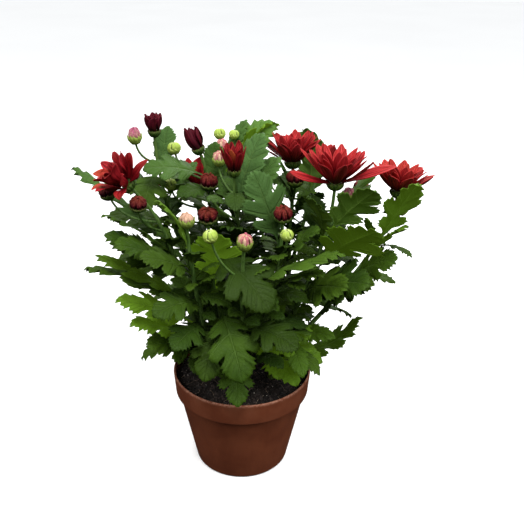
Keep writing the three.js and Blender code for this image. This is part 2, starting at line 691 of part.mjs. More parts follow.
        leaves: [
          leaf(250, [-4, -44, 250], { width: 1.15, roll: 0, arch: 0.24, kind: "young" }),
          leaf(236, [-24, -36, 260], { width: 0.9, roll: -10, arch: 0.14, kind: "young" }),
          leaf(200, [-8, -46, 238], { width: 0.9, roll: 0, arch: 0.1 }),
          leaf(240, [15, 8, 297], { width: 0.9, roll: 10, arch: 0.06, kind: "young" }),
          leaf(234, [24, -2, 284], { width: 1, roll: 20, arch: 0.06, kind: "young" }),
        ],
        spiral: [5, 120, 238, 42],
      },
      {
        kind: "green", size: 4.4, top: [-20, 42, 283], axis: [-0.1, 0.1, 1], lean: [2, 30], fork: 96,
        buds: [
          bud("pink", 5, 262, [-18, 30, 275], [0, -0.2, 1]),
          bud("green", 3.8, 264, [-9, 42, 283], [0.2, 0, 1]),
        ],
        leaves: [
          leaf(254, [28, 46, 295], { width: 0.95, roll: -40, arch: 0.06 }),
          leaf(258, [1, 54, 296], { width: 0.8, roll: 0, arch: 0.04, kind: "young" }),
          leaf(240, [9, 30, 291], { width: 0.9, roll: 0, arch: 0.04, kind: "young" }),
        ],
        spiral: [5, 116, 240, 56],
      },
      {
        kind: "bloom", size: 26, top: [64, 80, 240], axis: [0.25, 0.6, 0.75], lean: [38, 46], fork: 92,
        buds: [
          bud("dark", 6.2, 214, [98, 54, 232], [0.5, 0.2, 0.9]),
          bud("pink", 5.4, 222, [22, 94, 234], [0, 0.4, 0.9]),
        ],
        leaves: [leaf(222, [53, 62, 288], { width: 1.1, roll: 0, arch: 0.04, kind: "young" })],
        spiral: [10, 100, 226, 74],
      },
    ],
  },
];

const FAN = 100; // how far leaves of a spiral turn from straight outwards, degrees
const PLAIN_LEAF = { kind: "grown", width: 1, roll: 0, arch: 0.1, fold: 0.12, curl: 0.25, twist: 0 };

// Leaves that follow a shoot round it, turned outwards. The low ones hang, the high ones rise.
function spiralLeaves(curve, shoot, seed) {
  const [count, lowest, highest, length] = shoot.spiral;
  return Array.from({ length: count }, (_, i) => {
    const share = (i + 0.5) / count;
    const from = lowest + (highest - lowest) * share;
    const foot = pointAtHeight(curve, from);
    const outward = Math.atan2(foot.y, foot.x) / DEG;
    const azimuth = outward + FAN * draw(seed + 3, 1.3 * i);
    const elevation = -14 + 52 * share + 10 * draw(seed + 5, i);
    const reach = length * (1.05 - 0.35 * share) * (1 + 0.12 * draw(seed + 9, i));
    const tip = v3(
      foot.x + reach * Math.cos(azimuth * DEG) * Math.cos(elevation * DEG),
      foot.y + reach * Math.sin(azimuth * DEG) * Math.cos(elevation * DEG),
      foot.z + reach * Math.sin(elevation * DEG),
    );
    const form = { width: 1 + 0.12 * draw(seed + 11, i), roll: 18 * draw(seed + 15, i) };
    const kind = share > 0.5 || length < 50 ? "young" : "grown";
    return { ...PLAIN_LEAF, ...form, kind, foot, tip, arch: 0.12 + 0.06 * draw(seed + 17, i) };
  });
}

// A leaf with its tip swung round its foot, turned and shortened a little. Bend 0 is as wished.
function bent(wished, k) {
  if (k === 0) return wished;
  const amount = Math.sqrt(k / BENDS_TRIED);
  const [swing, lift] = [k * GOLDEN_ANGLE * DEG, 0.42 * amount];
  const reach = wished.tip.clone().sub(wished.foot);
  const level = v3(-reach.y, reach.x, 0).normalize();
  const upward = reach.clone().normalize().cross(level);
  const length = reach.length() * (1 - 0.16 * amount * amount);
  const direction = reach
    .normalize()
    .addScaledVector(level, lift * Math.cos(swing))
    .addScaledVector(upward, lift * Math.sin(swing))
    .normalize();
  return {
    ...wished,
    tip: wished.foot.clone().addScaledVector(direction, length),
    roll: wished.roll + 24 * amount * Math.cos(2.4 * k),
    arch: wished.arch + 0.05 * amount * Math.sin(1.7 * k),
  };
}

// ---------------------------------------------------------------- putting it together
const boxesMeet = (a, b, margin) =>
  [0, 1, 2].every((i) => a.min[i] - margin < b.max[i] && b.min[i] - margin < a.max[i]);

const crosses = (a, b) => boxesMeet(a.box, b.box, 0) && !a.solid.intersect(b.solid).isEmpty();
const near = (a, b) =>
  boxesMeet(a.box, b.box, CLEARANCE) && a.solid.minGap(b.solid, CLEARANCE) < CLEARANCE;
const piece = (owner, solid) => ({ owner, solid, box: solid.boundingBox() });

// The first bend that is clear of the other plants and crosses nothing of its own plant but the
// stem that it grows from. A leaf placed by hand may cross its own plant. One with no room is left out.
function firstClearBend(wished, plant, stem, placed) {
  const own = placed.filter((other) => other.owner === plant && other.solid !== stem);
  const others = placed.filter((other) => other.owner !== plant);
  let fair = null;
  for (let k = 0; k < BENDS_TRIED; k++) {
    const tried = piece(plant, leafSolid(bent(wished, k)));
    if (others.some((other) => near(tried, other))) continue;
    if (!own.some((other) => crosses(tried, other))) return tried;
    fair ??= tried;
  }
  return wished.from ? fair : null;
}

const colour = (hex, roughness) =>
  new THREE.MeshStandardMaterial({ color: hex, roughness, metalness: 0 });
const MATERIALS = {
  pot: colour(0x5a3022, 0.6),
  soil: colour(0x1c1512, 0.95),
  foliage: colour(0x35611f, 0.6),
  bloom: colour(0xb42028, 0.6),
  half: colour(0x7a0c1c, 0.6),
  dark: colour(0x4a0a1c, 0.6),
  pink: colour(0xe0a898, 0.6),
};

const object = new THREE.Group();
const pot = potSolid();
const soil = soilSolid(PLANTS.map((plant) => plant.root));
object.add(meshOf("pot", pot, MATERIALS.pot), meshOf("soil", soil, MATERIALS.soil));

const placed = [piece("pot", pot), piece("soil", soil)];
const parts = new Map(PLANTS.map((plant) => [plant.name, []]));
const counts = { bloom: 0, half: 0, dark: 0, pink: 0 };
const wishes = { byHand: [], spiral: [] };
let seed = 0;

for (const plant of PLANTS) {
  const add = (solid) => {
    parts.get(plant.name).push(solid);
    placed.push(piece(plant.name, solid));
  };
  let first = null;
  for (const shoot of plant.shoots) {
    seed += 1;
    const start = first ? pointAtHeight(first, shoot.fork) : v3(...plant.root, SOIL_LEVEL);
    const curve = shootCurve(start, shoot);
    const stem = shootRod(curve, first ? FORK_DEPTH : ROOTED_DEPTH);
    first ??= curve;
    add(stem);
    shoot.buds.forEach((one) => add(stalkRod(stalkCurve(curve, one))));
    for (const head of [shoot, ...shoot.buds]) {
      const solids = headSolids(head, seed + head.top[0]);
      add(solids.cup.transform(headMatrix(head)));
      if (!solids.top) continue;
      const top = solids.top.transform(headMatrix(head));
      counts[head.kind] += 1;
      const name = `${head.kind}_${counts[head.kind]}`;
      object.add(meshOf(name, top, MATERIALS[head.kind]));
      placed.push(piece(name, top));
    }
    for (const row of shoot.leaves) {
      const form = { ...PLAIN_LEAF, ...row, foot: pointAtHeight(curve, row.from), tip: at(row.tip) };
      wishes.byHand.push([plant.name, form, stem]);
    }
    spiralLeaves(curve, shoot, seed).forEach((form) => wishes.spiral.push([plant.name, form, stem]));
  }
}

for (const [plant, wished, stem] of [...wishes.byHand, ...wishes.spiral]) {
  const found = firstClearBend(wished, plant, stem, placed);
  if (!found) continue;
  parts.get(plant).push(found.solid);
  placed.push(found);
}

for (const [name, solids] of parts) object.add(meshOf(name, fuse(solids), MATERIALS.foliage));

export default object;
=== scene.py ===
"""Looks of a potted chrysanthemum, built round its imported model."""
import json
import math

import bmesh
import bpy
import numpy as np
from mathutils import Matrix, Vector

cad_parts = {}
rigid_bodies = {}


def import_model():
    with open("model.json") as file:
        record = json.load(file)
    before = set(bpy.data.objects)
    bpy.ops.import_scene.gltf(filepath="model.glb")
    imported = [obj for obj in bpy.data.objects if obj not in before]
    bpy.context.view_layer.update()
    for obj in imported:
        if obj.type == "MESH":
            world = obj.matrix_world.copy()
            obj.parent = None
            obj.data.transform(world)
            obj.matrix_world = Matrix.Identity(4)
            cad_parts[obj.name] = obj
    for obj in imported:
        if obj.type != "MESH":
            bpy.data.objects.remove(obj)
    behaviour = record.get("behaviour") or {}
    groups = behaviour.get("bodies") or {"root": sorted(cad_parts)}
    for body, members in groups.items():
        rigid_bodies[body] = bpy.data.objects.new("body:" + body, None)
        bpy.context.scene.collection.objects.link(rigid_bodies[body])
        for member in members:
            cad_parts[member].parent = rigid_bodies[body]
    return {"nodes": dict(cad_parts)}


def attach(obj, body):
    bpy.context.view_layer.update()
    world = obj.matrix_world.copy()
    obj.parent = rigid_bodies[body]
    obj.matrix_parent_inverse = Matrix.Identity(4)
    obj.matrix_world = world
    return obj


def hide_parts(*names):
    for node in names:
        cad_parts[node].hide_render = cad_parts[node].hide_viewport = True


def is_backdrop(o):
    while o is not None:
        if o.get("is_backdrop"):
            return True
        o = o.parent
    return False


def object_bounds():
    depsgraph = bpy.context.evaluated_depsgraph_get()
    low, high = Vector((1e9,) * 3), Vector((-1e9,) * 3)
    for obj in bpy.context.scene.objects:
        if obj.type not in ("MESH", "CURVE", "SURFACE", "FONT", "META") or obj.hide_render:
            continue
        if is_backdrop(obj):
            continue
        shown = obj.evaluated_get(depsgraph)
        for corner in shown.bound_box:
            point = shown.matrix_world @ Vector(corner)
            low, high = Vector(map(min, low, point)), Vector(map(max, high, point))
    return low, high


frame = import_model()
solid_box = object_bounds()

# ---------------------------------------------------------------- floor, light and camera
# A pale floor and a soft studio: a bright ceiling over a dim room, one softbox above the front
# and weaker ones on both sides and behind, so that the plant's inside stays dark.
MM = 0.001
CAMERA_PLACE = (0.016, -0.524, 0.428)
CAMERA_PITCH, CAMERA_ROLL = 24.4, 0.9
LENS, SENSOR = 48.1, 36
LAMP_AIM = (0, 0, 0.18)
FLOOR_CORNERS = [(-4000, -4000, 0), (4000, -4000, 0), (4000, 6000, 0), (-4000, 6000, 0)]


def stand(name, data):
    """A new object at the origin of the scene."""
    made = bpy.data.objects.new(name, data)
    bpy.context.scene.collection.objects.link(made)
    return made


camera = stand("camera", bpy.data.cameras.new("camera"))
camera.data.lens, camera.data.sensor_width = LENS, SENSOR
tilt = Matrix.Rotation(math.radians(90 - CAMERA_PITCH), 3, "X")
camera.rotation_euler = (tilt @ Matrix.Rotation(math.radians(CAMERA_ROLL), 3, "Z")).to_euler()
camera.location = CAMERA_PLACE
bpy.context.scene.camera = camera
bpy.context.scene.view_settings.view_transform = "Standard"

for name, place, size, power, colour in (
    ("key", (0.05, -0.55, 1.4), 0.7, 16, (1, 0.98, 0.95)),
    ("left_fill", (-0.95, -0.4, 0.8), 0.7, 5, (0.98, 0.99, 1)),
    ("fill", (0.9, -0.55, 0.95), 0.7, 9, (0.97, 0.99, 1)),
    ("rim", (0.2, 1.1, 1.0), 0.8, 9, (1, 1, 1)),
):
    lamp = bpy.data.lights.new(name, "AREA")
    lamp.shape, lamp.size, lamp.energy, lamp.color = "DISK", size, power, colour
    softbox = stand(name, lamp)
    softbox.location = place
    aim = Vector(LAMP_AIM) - Vector(place)
    softbox.rotation_euler = aim.to_track_quat("-Z", "Y").to_euler()


class Tap:
    """An output of a node. Sums, differences and products of it add Math nodes."""

    def __init__(self, tree, socket):
        self.tree, self.socket = tree, socket

    def math(self, operation, *others):
        values = dict(enumerate((self, *others)))
        return self.tree.node("ShaderNodeMath", {"operation": operation}, values)

    def __add__(self, other):
        return self.math("ADD", other)

    def __mul__(self, other):
        return self.math("MULTIPLY", other)

    def __sub__(self, other):
        return self.math("SUBTRACT", other)

    def __rsub__(self, other):
        return (self * -1.0) + other

    def __abs__(self):
        return self.math("ABSOLUTE")

    __radd__ = __add__
    __rmul__ = __mul__

    def span(self, low, high, start=0.0, end=1.0):
        """Follows the value from low to high, smoothly, as start to end."""
        values = {0: self, 1: low, 2: high, 3: start, 4: end}
        return self.tree.node("ShaderNodeMapRange", {"interpolation_type": "SMOOTHSTEP"}, values)

    def blend(self, first, second):
        """The first colour where the value is 0, turning to the second where it is 1."""
        ends = [c if isinstance(c, Tap) else (*c, 1) for c in (first, second)]
        values = {0: self, 6: ends[0], 7: ends[1]}
        return self.tree.node("ShaderNodeMix", {"data_type": "RGBA"}, values, 2)

    def relief(self, depth, before=None):
        """A bump that is depth metres high where the value is 1."""
        values = {"Height": self, "Distance": depth, "Strength": 1.0}
        if before:
            values["Normal"] = before
        return self.tree.node("ShaderNodeBump", {}, values)


class Tree:
    """A tree of nodes, which all come from one method."""

    def __init__(self, tree):
        self.tree = tree

    def put(self, socket, value):
        if isinstance(value, Tap):
            self.tree.links.new(value.socket, socket)
        else:
            socket.default_value = value

    def node(self, kind, settings, values, output=0):
        made = self.tree.nodes.new(kind)
        for key, setting in settings.items():
            setattr(made, key, setting)
        for key, value in values.items():
            self.put(made.inputs[key], value)
        return Tap(self, made.outputs[output])


class Finish(Tree):
    """A material, made by nodes that feed its Principled shader."""

    def __init__(self, name):
        self.material = bpy.data.materials.new(name)
        self.material.use_nodes = True
        super().__init__(self.material.node_tree)

    def place(self, axis=None):
        """Where a point is on the object, or one number of that."""
        spot = self.node("ShaderNodeTexCoord", {}, {}, "Object")
        return self.node("ShaderNodeSeparateXYZ", {}, {0: spot}, axis) if axis else spot

    def numbers(self, attribute, axes="XYZ"):
        """The numbers that a point attribute holds."""
        read = self.node("ShaderNodeAttribute", {"attribute_name": attribute}, {}, "Vector")
        return [self.node("ShaderNodeSeparateXYZ", {}, {0: read}, axis) for axis in axes]

    def noise(self, scale, detail=3.0, roughness=0.5, vector=None, stretch=None):
        vector = vector or self.place()
        if stretch:
            vector = self.node("ShaderNodeMapping", {}, {"Vector": vector, "Scale": stretch})
        values = {"Vector": vector, "Scale": scale, "Detail": detail, "Roughness": roughness}
        return self.node("ShaderNodeTexNoise", {}, values)

    def coat(self, tints, **sockets):
        """Feeds the shader. Over its first tint the others are laid, each by its share."""
        colour = tints[0]
        for share, tint in tints[1:]:
            colour = share.blend(colour, tint)
        shader = self.tree.nodes["Principled BSDF"]
        for key, value in {"Base_Color": colour, **sockets}.items():
            self.put(shader.inputs[key.replace("_", " ")], value)
        return self.material


world = bpy.data.worlds.new("studio")
bpy.context.scene.world = world
world.use_nodes = True
room = Tree(world.node_tree)
height = room.node("ShaderNodeTexCoord", {}, {}, "Generated")
height = room.node("ShaderNodeSeparateXYZ", {}, {0: height}, "Z")
ceiling = room.node("ShaderNodeMapRange", {}, {0: height, 1: 0.1, 2: 0.6, 3: 0.02, 4: 1.0})
to_camera = room.node("ShaderNodeLightPath", {}, {}, "Is Camera Ray")
background = world.node_tree.nodes["Background"].inputs
room.put(background["Color"], (0.96, 0.98, 1, 1))
room.put(background["Strength"], ceiling.math("MAXIMUM", to_camera))


def piece_of(name, points, faces, material):
    """A piece at the origin. Its points come in millimetres."""
    mesh = bpy.data.meshes.new(name)
    mesh.from_pydata((np.asarray(points, float) * MM).tolist(), [], faces)
    mesh.materials.append(material)
    mesh.polygons.foreach_set("use_smooth", [True] * len(mesh.polygons))
    return stand(name, mesh)


pale = Finish("floor")
pale.coat(
    [pale.noise(2.0, 2.0).span(0.3, 0.7).blend((0.9, 0.9, 0.895), (0.93, 0.93, 0.925))],
    Roughness=0.7,
    Specular_IOR_Level=0.2,
    Emission_Color=(1, 1, 1, 1),
    Emission_Strength=0.2,
)
floor = piece_of("floor", FLOOR_CORNERS, [(0, 1, 2, 3)], pale.material)
# The floor is white to the camera, but it throws no light back under the leaves.
floor.visible_diffuse = floor.visible_glossy = False
floor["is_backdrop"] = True

# ---------------------------------------------------------------- pot
# A thin brown nursery pot, moulded in one piece from matte plastic: a tapered body, a wider
# collar with a step under it, a rounded rim that is scuffed paler, and drainage holes.
POT_HEIGHT, POT_TOP_RADIUS, POT_BASE_RADIUS, POT_WALL = 90, 60, 41, 1.8
BAND_HEIGHT, BAND_STEP, BAND_TAPER = 20, 2.4, 1.6
BAND_FOOT, BAND_SWELL = POT_HEIGHT - BAND_HEIGHT, 82
DRAIN_RADIUS, DRAIN_CIRCLE, DRAIN_COUNT = 4, 29, 6
POT_SECTORS, DRAIN_SECTORS = 144, 24


def wall_radius(z):
    shoulder = POT_TOP_RADIUS - BAND_TAPER - BAND_STEP
    return POT_BASE_RADIUS + (shoulder - POT_BASE_RADIUS) * z / BAND_FOOT


def band_radius(z):
    return POT_TOP_RADIUS - BAND_TAPER * (POT_HEIGHT - z) / BAND_HEIGHT


def heading(azimuth, elevation=0):
    """The direction at two angles in degrees."""
    azimuth, elevation = math.radians(azimuth), math.radians(elevation)
    level = math.cos(elevation)
    return np.array([math.cos(azimuth) * level, math.sin(azimuth) * level, math.sin(elevation)])


def curve_of(*controls):
    """The smooth curve that its controls pull, at t from 0 to 1."""
    def point(t):
        line = controls
        while len(line) > 1:
            line = [a * (1 - t) + b * t for a, b in zip(line, line[1:])]
        return line[0]
    return point


def turned(profile, sectors, bump=lambda x, y, z: 0):
    """Points and faces of a closed profile turned round the Z axis; its ends are on the axis."""
    points, faces = [(0, 0, profile[0][1])], []
    for radius, height in profile[1:-1]:
        for i in range(sectors):
            angle = 2 * math.pi * i / sectors
            x, y = radius * math.cos(angle), radius * math.sin(angle)
            points.append((x, y, height + bump(x, y, height)))
    points.append((0, 0, profile[-1][1] + bump(0, 0, profile[-1][1])))
    last = len(points) - 1
    for i in range(sectors):
        j = (i + 1) % sectors
        faces.append((0, 1 + j, 1 + i))
        for low in range(1, last - sectors, sectors):
            faces.append((low + i, low + j, low + sectors + j, low + sectors + i))
        faces.append((last - sectors + i, last - sectors + j, last))
    return points, faces


def rounded(corners, radius=0.7, steps=3):
    """A profile with each inner corner replaced by a small arc."""
    made = [corners[0]]
    for before, corner, after in zip(corners, corners[1:], corners[2:]):
        corner = Vector(corner)
        back, ahead = Vector(before) - corner, Vector(after) - corner
        reach = min(radius, 0.45 * back.length, 0.45 * ahead.length)
        start, end = corner + back.normalized() * reach, corner + ahead.normalized() * reach
        arc = curve_of(start, corner, end)
        made += [tuple(arc(k / steps)) for k in range(steps + 1)]
    return [*made, corners[-1]]


def settled(source, name):
    """A plain mesh piece of what the modifiers of source make, in place of source."""
    bpy.context.view_layer.update()
    ready = source.evaluated_get(bpy.context.evaluated_depsgraph_get())
    mesh = bpy.data.meshes.new_from_object(ready)
    mesh.name = name
    bpy.data.objects.remove(source)
    return stand(name, mesh)


def declare(piece, slot, *nodes):
    """Puts a piece on the root body and hides the solids it stands for. Its slot is not used."""
    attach(piece, "root")
    if nodes:
        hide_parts(*nodes)


pot_profile = rounded([
    (0, 0), (POT_BASE_RADIUS - 1.5, 0), (wall_radius(1.5), 1.5),
    (wall_radius(35) - 0.15, 35), (wall_radius(BAND_FOOT) - 0.4, BAND_FOOT - 0.3),
    (band_radius(BAND_FOOT), BAND_FOOT + 0.2), (band_radius(BAND_SWELL) + 0.05, BAND_SWELL),
    (band_radius(POT_HEIGHT - 4) + 0.05, POT_HEIGHT - 4), (POT_TOP_RADIUS, POT_HEIGHT - 1.2),
    (POT_TOP_RADIUS - 0.5, POT_HEIGHT), (POT_TOP_RADIUS - 1.7, POT_HEIGHT - 0.2),
    (band_radius(BAND_SWELL) - POT_WALL, BAND_SWELL),
    (band_radius(BAND_FOOT) - POT_WALL, BAND_FOOT + 2.4),
    (wall_radius(BAND_FOOT) - POT_WALL, BAND_FOOT),
    (wall_radius(POT_WALL) - POT_WALL, POT_WALL), (0, POT_WALL),
])

plastic = Finish("brown_pot_plastic")
level = plastic.place("Z")
mottle = plastic.noise(38.0, 4.0, 0.6)
flow_lines = plastic.noise(60.0, 3.0, 0.6, stretch=(1, 1, 0.12))
scuffs = plastic.noise(420.0, 5.0, 0.7)
at_rim = level.span(0.0868, 0.0894)
shades = (mottle * 0.6 + flow_lines * 0.4).span(0.35, 0.65)
plastic.coat(
    [
        shades.blend((0.15, 0.04, 0.018), (0.2, 0.057, 0.025)),
        (at_rim * scuffs.span(0.36, 0.62) * 0.75, (0.36, 0.17, 0.11)),
        # Painted light: from just below the collar up to the rim the plastic is lighter in patches.
        (level.span(0.066, 0.0905) * mottle.span(0.4, 0.75) * 0.25, (0.19, 0.085, 0.055)),
        (plastic.noise(950.0, 2.0).span(0.7, 0.78) * at_rim * 0.8, (0.02, 0.013, 0.01)),
    ],
    Roughness=mottle.span(0.3, 0.7, 0.42, 0.58),
    Specular_IOR_Level=0.16,
    Normal=scuffs.relief(0.00012, flow_lines.relief(0.0004)),
)

drain = bpy.data.collections.new("drain")
plug_profile = [(0, -3), (DRAIN_RADIUS, -3), (DRAIN_RADIUS, 5), (0, 5)]
for i in range(DRAIN_COUNT):
    points, faces = turned(plug_profile, DRAIN_SECTORS)
    shift = DRAIN_CIRCLE * heading(360 * (i + 0.5) / DRAIN_COUNT)
    plug = piece_of(f"plug_{i}", np.array(points) + shift, faces, plastic.material)
    bpy.context.scene.collection.objects.unlink(plug)
    drain.objects.link(plug)
blank = piece_of("pot_blank", *turned(pot_profile, POT_SECTORS), plastic.material)
cut = blank.modifiers.new("drain", "BOOLEAN")
cut.operand_type, cut.collection, cut.solver = "COLLECTION", drain, "EXACT"

pot = settled(blank, "pot_moulding")
for plug in list(drain.objects):
    bpy.data.objects.remove(plug)
bpy.data.collections.remove(drain)
pot.data.polygons.foreach_set("use_smooth", [True] * len(pot.data.polygons))
pot.data.set_sharp_from_angle(angle=math.radians(40))
declare(pot, "pot", "pot")

# ---------------------------------------------------------------- soil
# Dark peat that fills the pot to just below the rim, lumpy and a little higher in the middle.
# Loose crumbs, a few pale grains of grit and some root fibres lie on it.
SOIL_LEVEL, SOIL_LUMP, SOIL_GAP = 84.5, 1.6, 0.6
SOIL_RINGS, SOIL_SECTORS = 34, 96
CROWN_RADIUS, PIT_RADIUS, PIT_DEPTH = 56, 5, 1.2
FIBRE_COUNT, FIBRE_REACH, FIBRE_LIMIT = 60, 52, 55
GOLDEN_ANGLE = 137.5
# Where the first stem of each plant stands.
ROOTS = {
    "plant_left": (-22, -10), "plant_front": (-2, -24), "plant_right": (24, -10),
    "plant_rear_left": (-18, 22), "plant_rear_right": (20, 20),
}


def soil_bump(x, y, z):
    """How far the soil's top is off its crown: lumps, grain and a pit round each stem."""
    if z < SOIL_LEVEL - 3:
        return 0
    swell = math.sin(0.21 * x + 1.3) * math.cos(0.26 * y) + 0.5 * math.sin(0.47 * x - 0.39 * y)
    grain = math.sin(1.7 * x + 0.9 * y) * math.sin(1.3 * y - 1.1 * x + 2)
    away = min(math.dist((x, y), root) for root in ROOTS.values())
    pit = PIT_DEPTH * math.exp(-((away / PIT_RADIUS) ** 2))
    return SOIL_LUMP * swell + 0.35 * grain - pit


def crown(radius):
    """Height of the soil's top, without its lumps."""
    share = radius / CROWN_RADIUS
    return SOIL_LEVEL + 1.2 - 2.4 * share**6 - 0.8 * share**2


soil_clear = POT_WALL + SOIL_GAP
soil_radius = band_radius(SOIL_LEVEL) - soil_clear - 0.6
soil_profile = [
    (0, soil_clear), (wall_radius(3) - soil_clear, soil_clear),
    (wall_radius(BAND_FOOT) - soil_clear - 0.1, BAND_FOOT - 0.4),
    (band_radius(BAND_FOOT + 3) - soil_clear - 0.1, BAND_FOOT + 3.2),
    (soil_radius, SOIL_LEVEL - 4.2),
]
for radius in soil_radius * (1 - np.arange(1, SOIL_RINGS + 1) / SOIL_RINGS):
    soil_profile.append((radius, crown(radius)))

peat = Finish("dark_peat")
clods, patches = peat.noise(240.0, 6.0, 0.7), peat.noise(45.0, 2.0)
peat.coat(
    [
        clods.span(0.35, 0.7).blend((0.004, 0.0024, 0.0018), (0.015, 0.009, 0.0065)),
        (patches.span(0.45, 0.7) * 0.5, (0.02, 0.012, 0.008)),
    ],
    Roughness=clods.span(0.3, 0.7, 0.98, 0.75),
    Specular_IOR_Level=0.25,
    Normal=clods.relief(0.0016),
)
soil_shape = turned(soil_profile, SOIL_SECTORS, soil_bump)
soil = piece_of("soil_ball", *soil_shape, peat.material)
declare(soil, "soil", "soil")


def strew(name, ground, grain, material, sizes):
    """Strews grains over ground by a seeded node tree, each turned and sized at random."""
    group = bpy.data.node_groups.new(name, "GeometryNodeTree")
    face = group.interface
    face.new_socket("Geometry", in_out="INPUT", socket_type="NodeSocketGeometry")
    for key in sizes:
        kind = "NodeSocketInt" if key == "Seed" else "NodeSocketFloat"
        face.new_socket(key, in_out="INPUT", socket_type=kind)
    face.new_socket("Geometry", in_out="OUTPUT", socket_type="NodeSocketGeometry")
    tree, entry = Tree(group), group.nodes.new("NodeGroupInput")

    def given(key):
        return Tap(tree, entry.outputs[key])

    def chance(kind, limits, output="Value"):
        limits = {**limits, "Seed": given("Seed")}
        return tree.node("FunctionNodeRandomValue", {"data_type": kind}, limits, output)

    placing = {"Mesh": given("Geometry"), "Density": given("Density"), "Seed": given("Seed")}
    points = tree.node("GeometryNodeDistributePointsOnFaces", {}, placing)
    sunk = tree.node("ShaderNodeCombineXYZ", {}, {"Z": given("Sunk")})
    points = tree.node("GeometryNodeSetPosition", {}, {"Geometry": points, "Offset": sunk})
    shape = tree.node("GeometryNodeObjectInfo", {}, {"Object": grain}, "Geometry")
    turn = chance("FLOAT_VECTOR", {"Max": (6.28, 6.28, 6.28)})
    form = chance("FLOAT_VECTOR", {"Min": (0.6, 0.6, 0.5), "Max": (1.3, 1.1, 0.9)})
    size = chance("FLOAT", {2: given("Smallest"), 3: given("Largest")}, 1)
    size = tree.node("ShaderNodeVectorMath", {"operation": "SCALE"}, {0: form, "Scale": size})
    lying = {"Points": points, "Instance": shape, "Rotation": turn, "Scale": size}
    grains = tree.node("GeometryNodeInstanceOnPoints", {}, lying)
    grains = tree.node("GeometryNodeRealizeInstances", {}, {0: grains})
    grains = tree.node("GeometryNodeSetMaterial", {}, {"Geometry": grains, "Material": material})
    tree.put(group.nodes.new("NodeGroupOutput").inputs[0], grains)

    holder = stand(name, ground.data.copy())
    modifier = holder.modifiers.new(name, "NODES")
    modifier.node_group = group
    for item in face.items_tree:
        if item.in_out == "INPUT" and item.name in sizes:
            modifier[item.identifier] = sizes[item.name]
    made = settled(holder, name)
    bpy.data.node_groups.remove(group)
    declare(made, "soil")


def grain_of(name, seed):
    """A lump of unit radius with few faces."""
    shape = bmesh.new()
    bmesh.ops.create_icosphere(shape, subdivisions=1, radius=1)
    for vertex in shape.verts:
        vertex.co *= 1 + 0.28 * math.sin(seed + 5.3 * vertex.index)
    mesh = bpy.data.meshes.new(name)
    shape.to_mesh(mesh)
    shape.free()
    return stand(name, mesh)


# The crumbs lie on the soil's top alone, so they are strewn over a copy of that.
top_faces = [
    p.vertices for p in soil.data.polygons
    if p.normal.z > 0.5 and p.center.z > (SOIL_LEVEL - 4) * MM
]
top_index = {}
for v in (v for face in top_faces for v in face):
    top_index.setdefault(v, len(top_index))
top_points = [soil.data.vertices[v].co[:] for v in top_index]
top_mesh = bpy.data.meshes.new("ground")
top_mesh.from_pydata(top_points, [], [[top_index[v] for v in face] for face in top_faces])
ground = stand("ground", top_mesh)

crumb = Finish("peat_crumbs")
tone = crumb.noise(130.0, 3.0, 0.8)
crumb.coat(
    [tone.span(0.38, 0.66).blend((0.005, 0.003, 0.002), (0.028, 0.016, 0.011))],
    Roughness=tone.span(0.3, 0.7, 0.95, 0.8),
    Normal=crumb.noise(1500.0, 4.0, 0.7).relief(0.0003),
)
grit = Finish("pale_grit")
tone = grit.noise(300.0)
grit.coat(
    [tone.span(0.35, 0.65).blend((0.12, 0.1, 0.08), (0.42, 0.38, 0.33))],
    Roughness=0.85,
    Normal=grit.noise(2500.0).relief(0.0002),
)
lump, chip = grain_of("lump", 1.0), grain_of("chip", 2.2)
SCATTER = ("Density", "Smallest", "Largest", "Seed", "Sunk")
for name, grain, finish, *sizes in (
    ("soil_crumbs", lump, crumb, 190000.0, 0.0005, 0.0013, 3, -0.0001),
    ("soil_clods", lump, crumb, 22000.0, 0.0014, 0.0027, 5, -0.0003),
    ("soil_grit", chip, grit, 12000.0, 0.0003, 0.0007, 8, 0.0003),
):
    strew(name, ground, grain, finish.material, dict(zip(SCATTER, sizes)))
for helper in (lump, chip, ground):
    bpy.data.objects.remove(helper)


def vector(*values):
    return np.array(values, float)


def draw(seed, step):
    """A repeatable draw between -1 and 1, the same one that spread the solids."""
    return 2 * math.fmod(seed * 0.7548776662 + step * 0.5698402909, 1) - 1


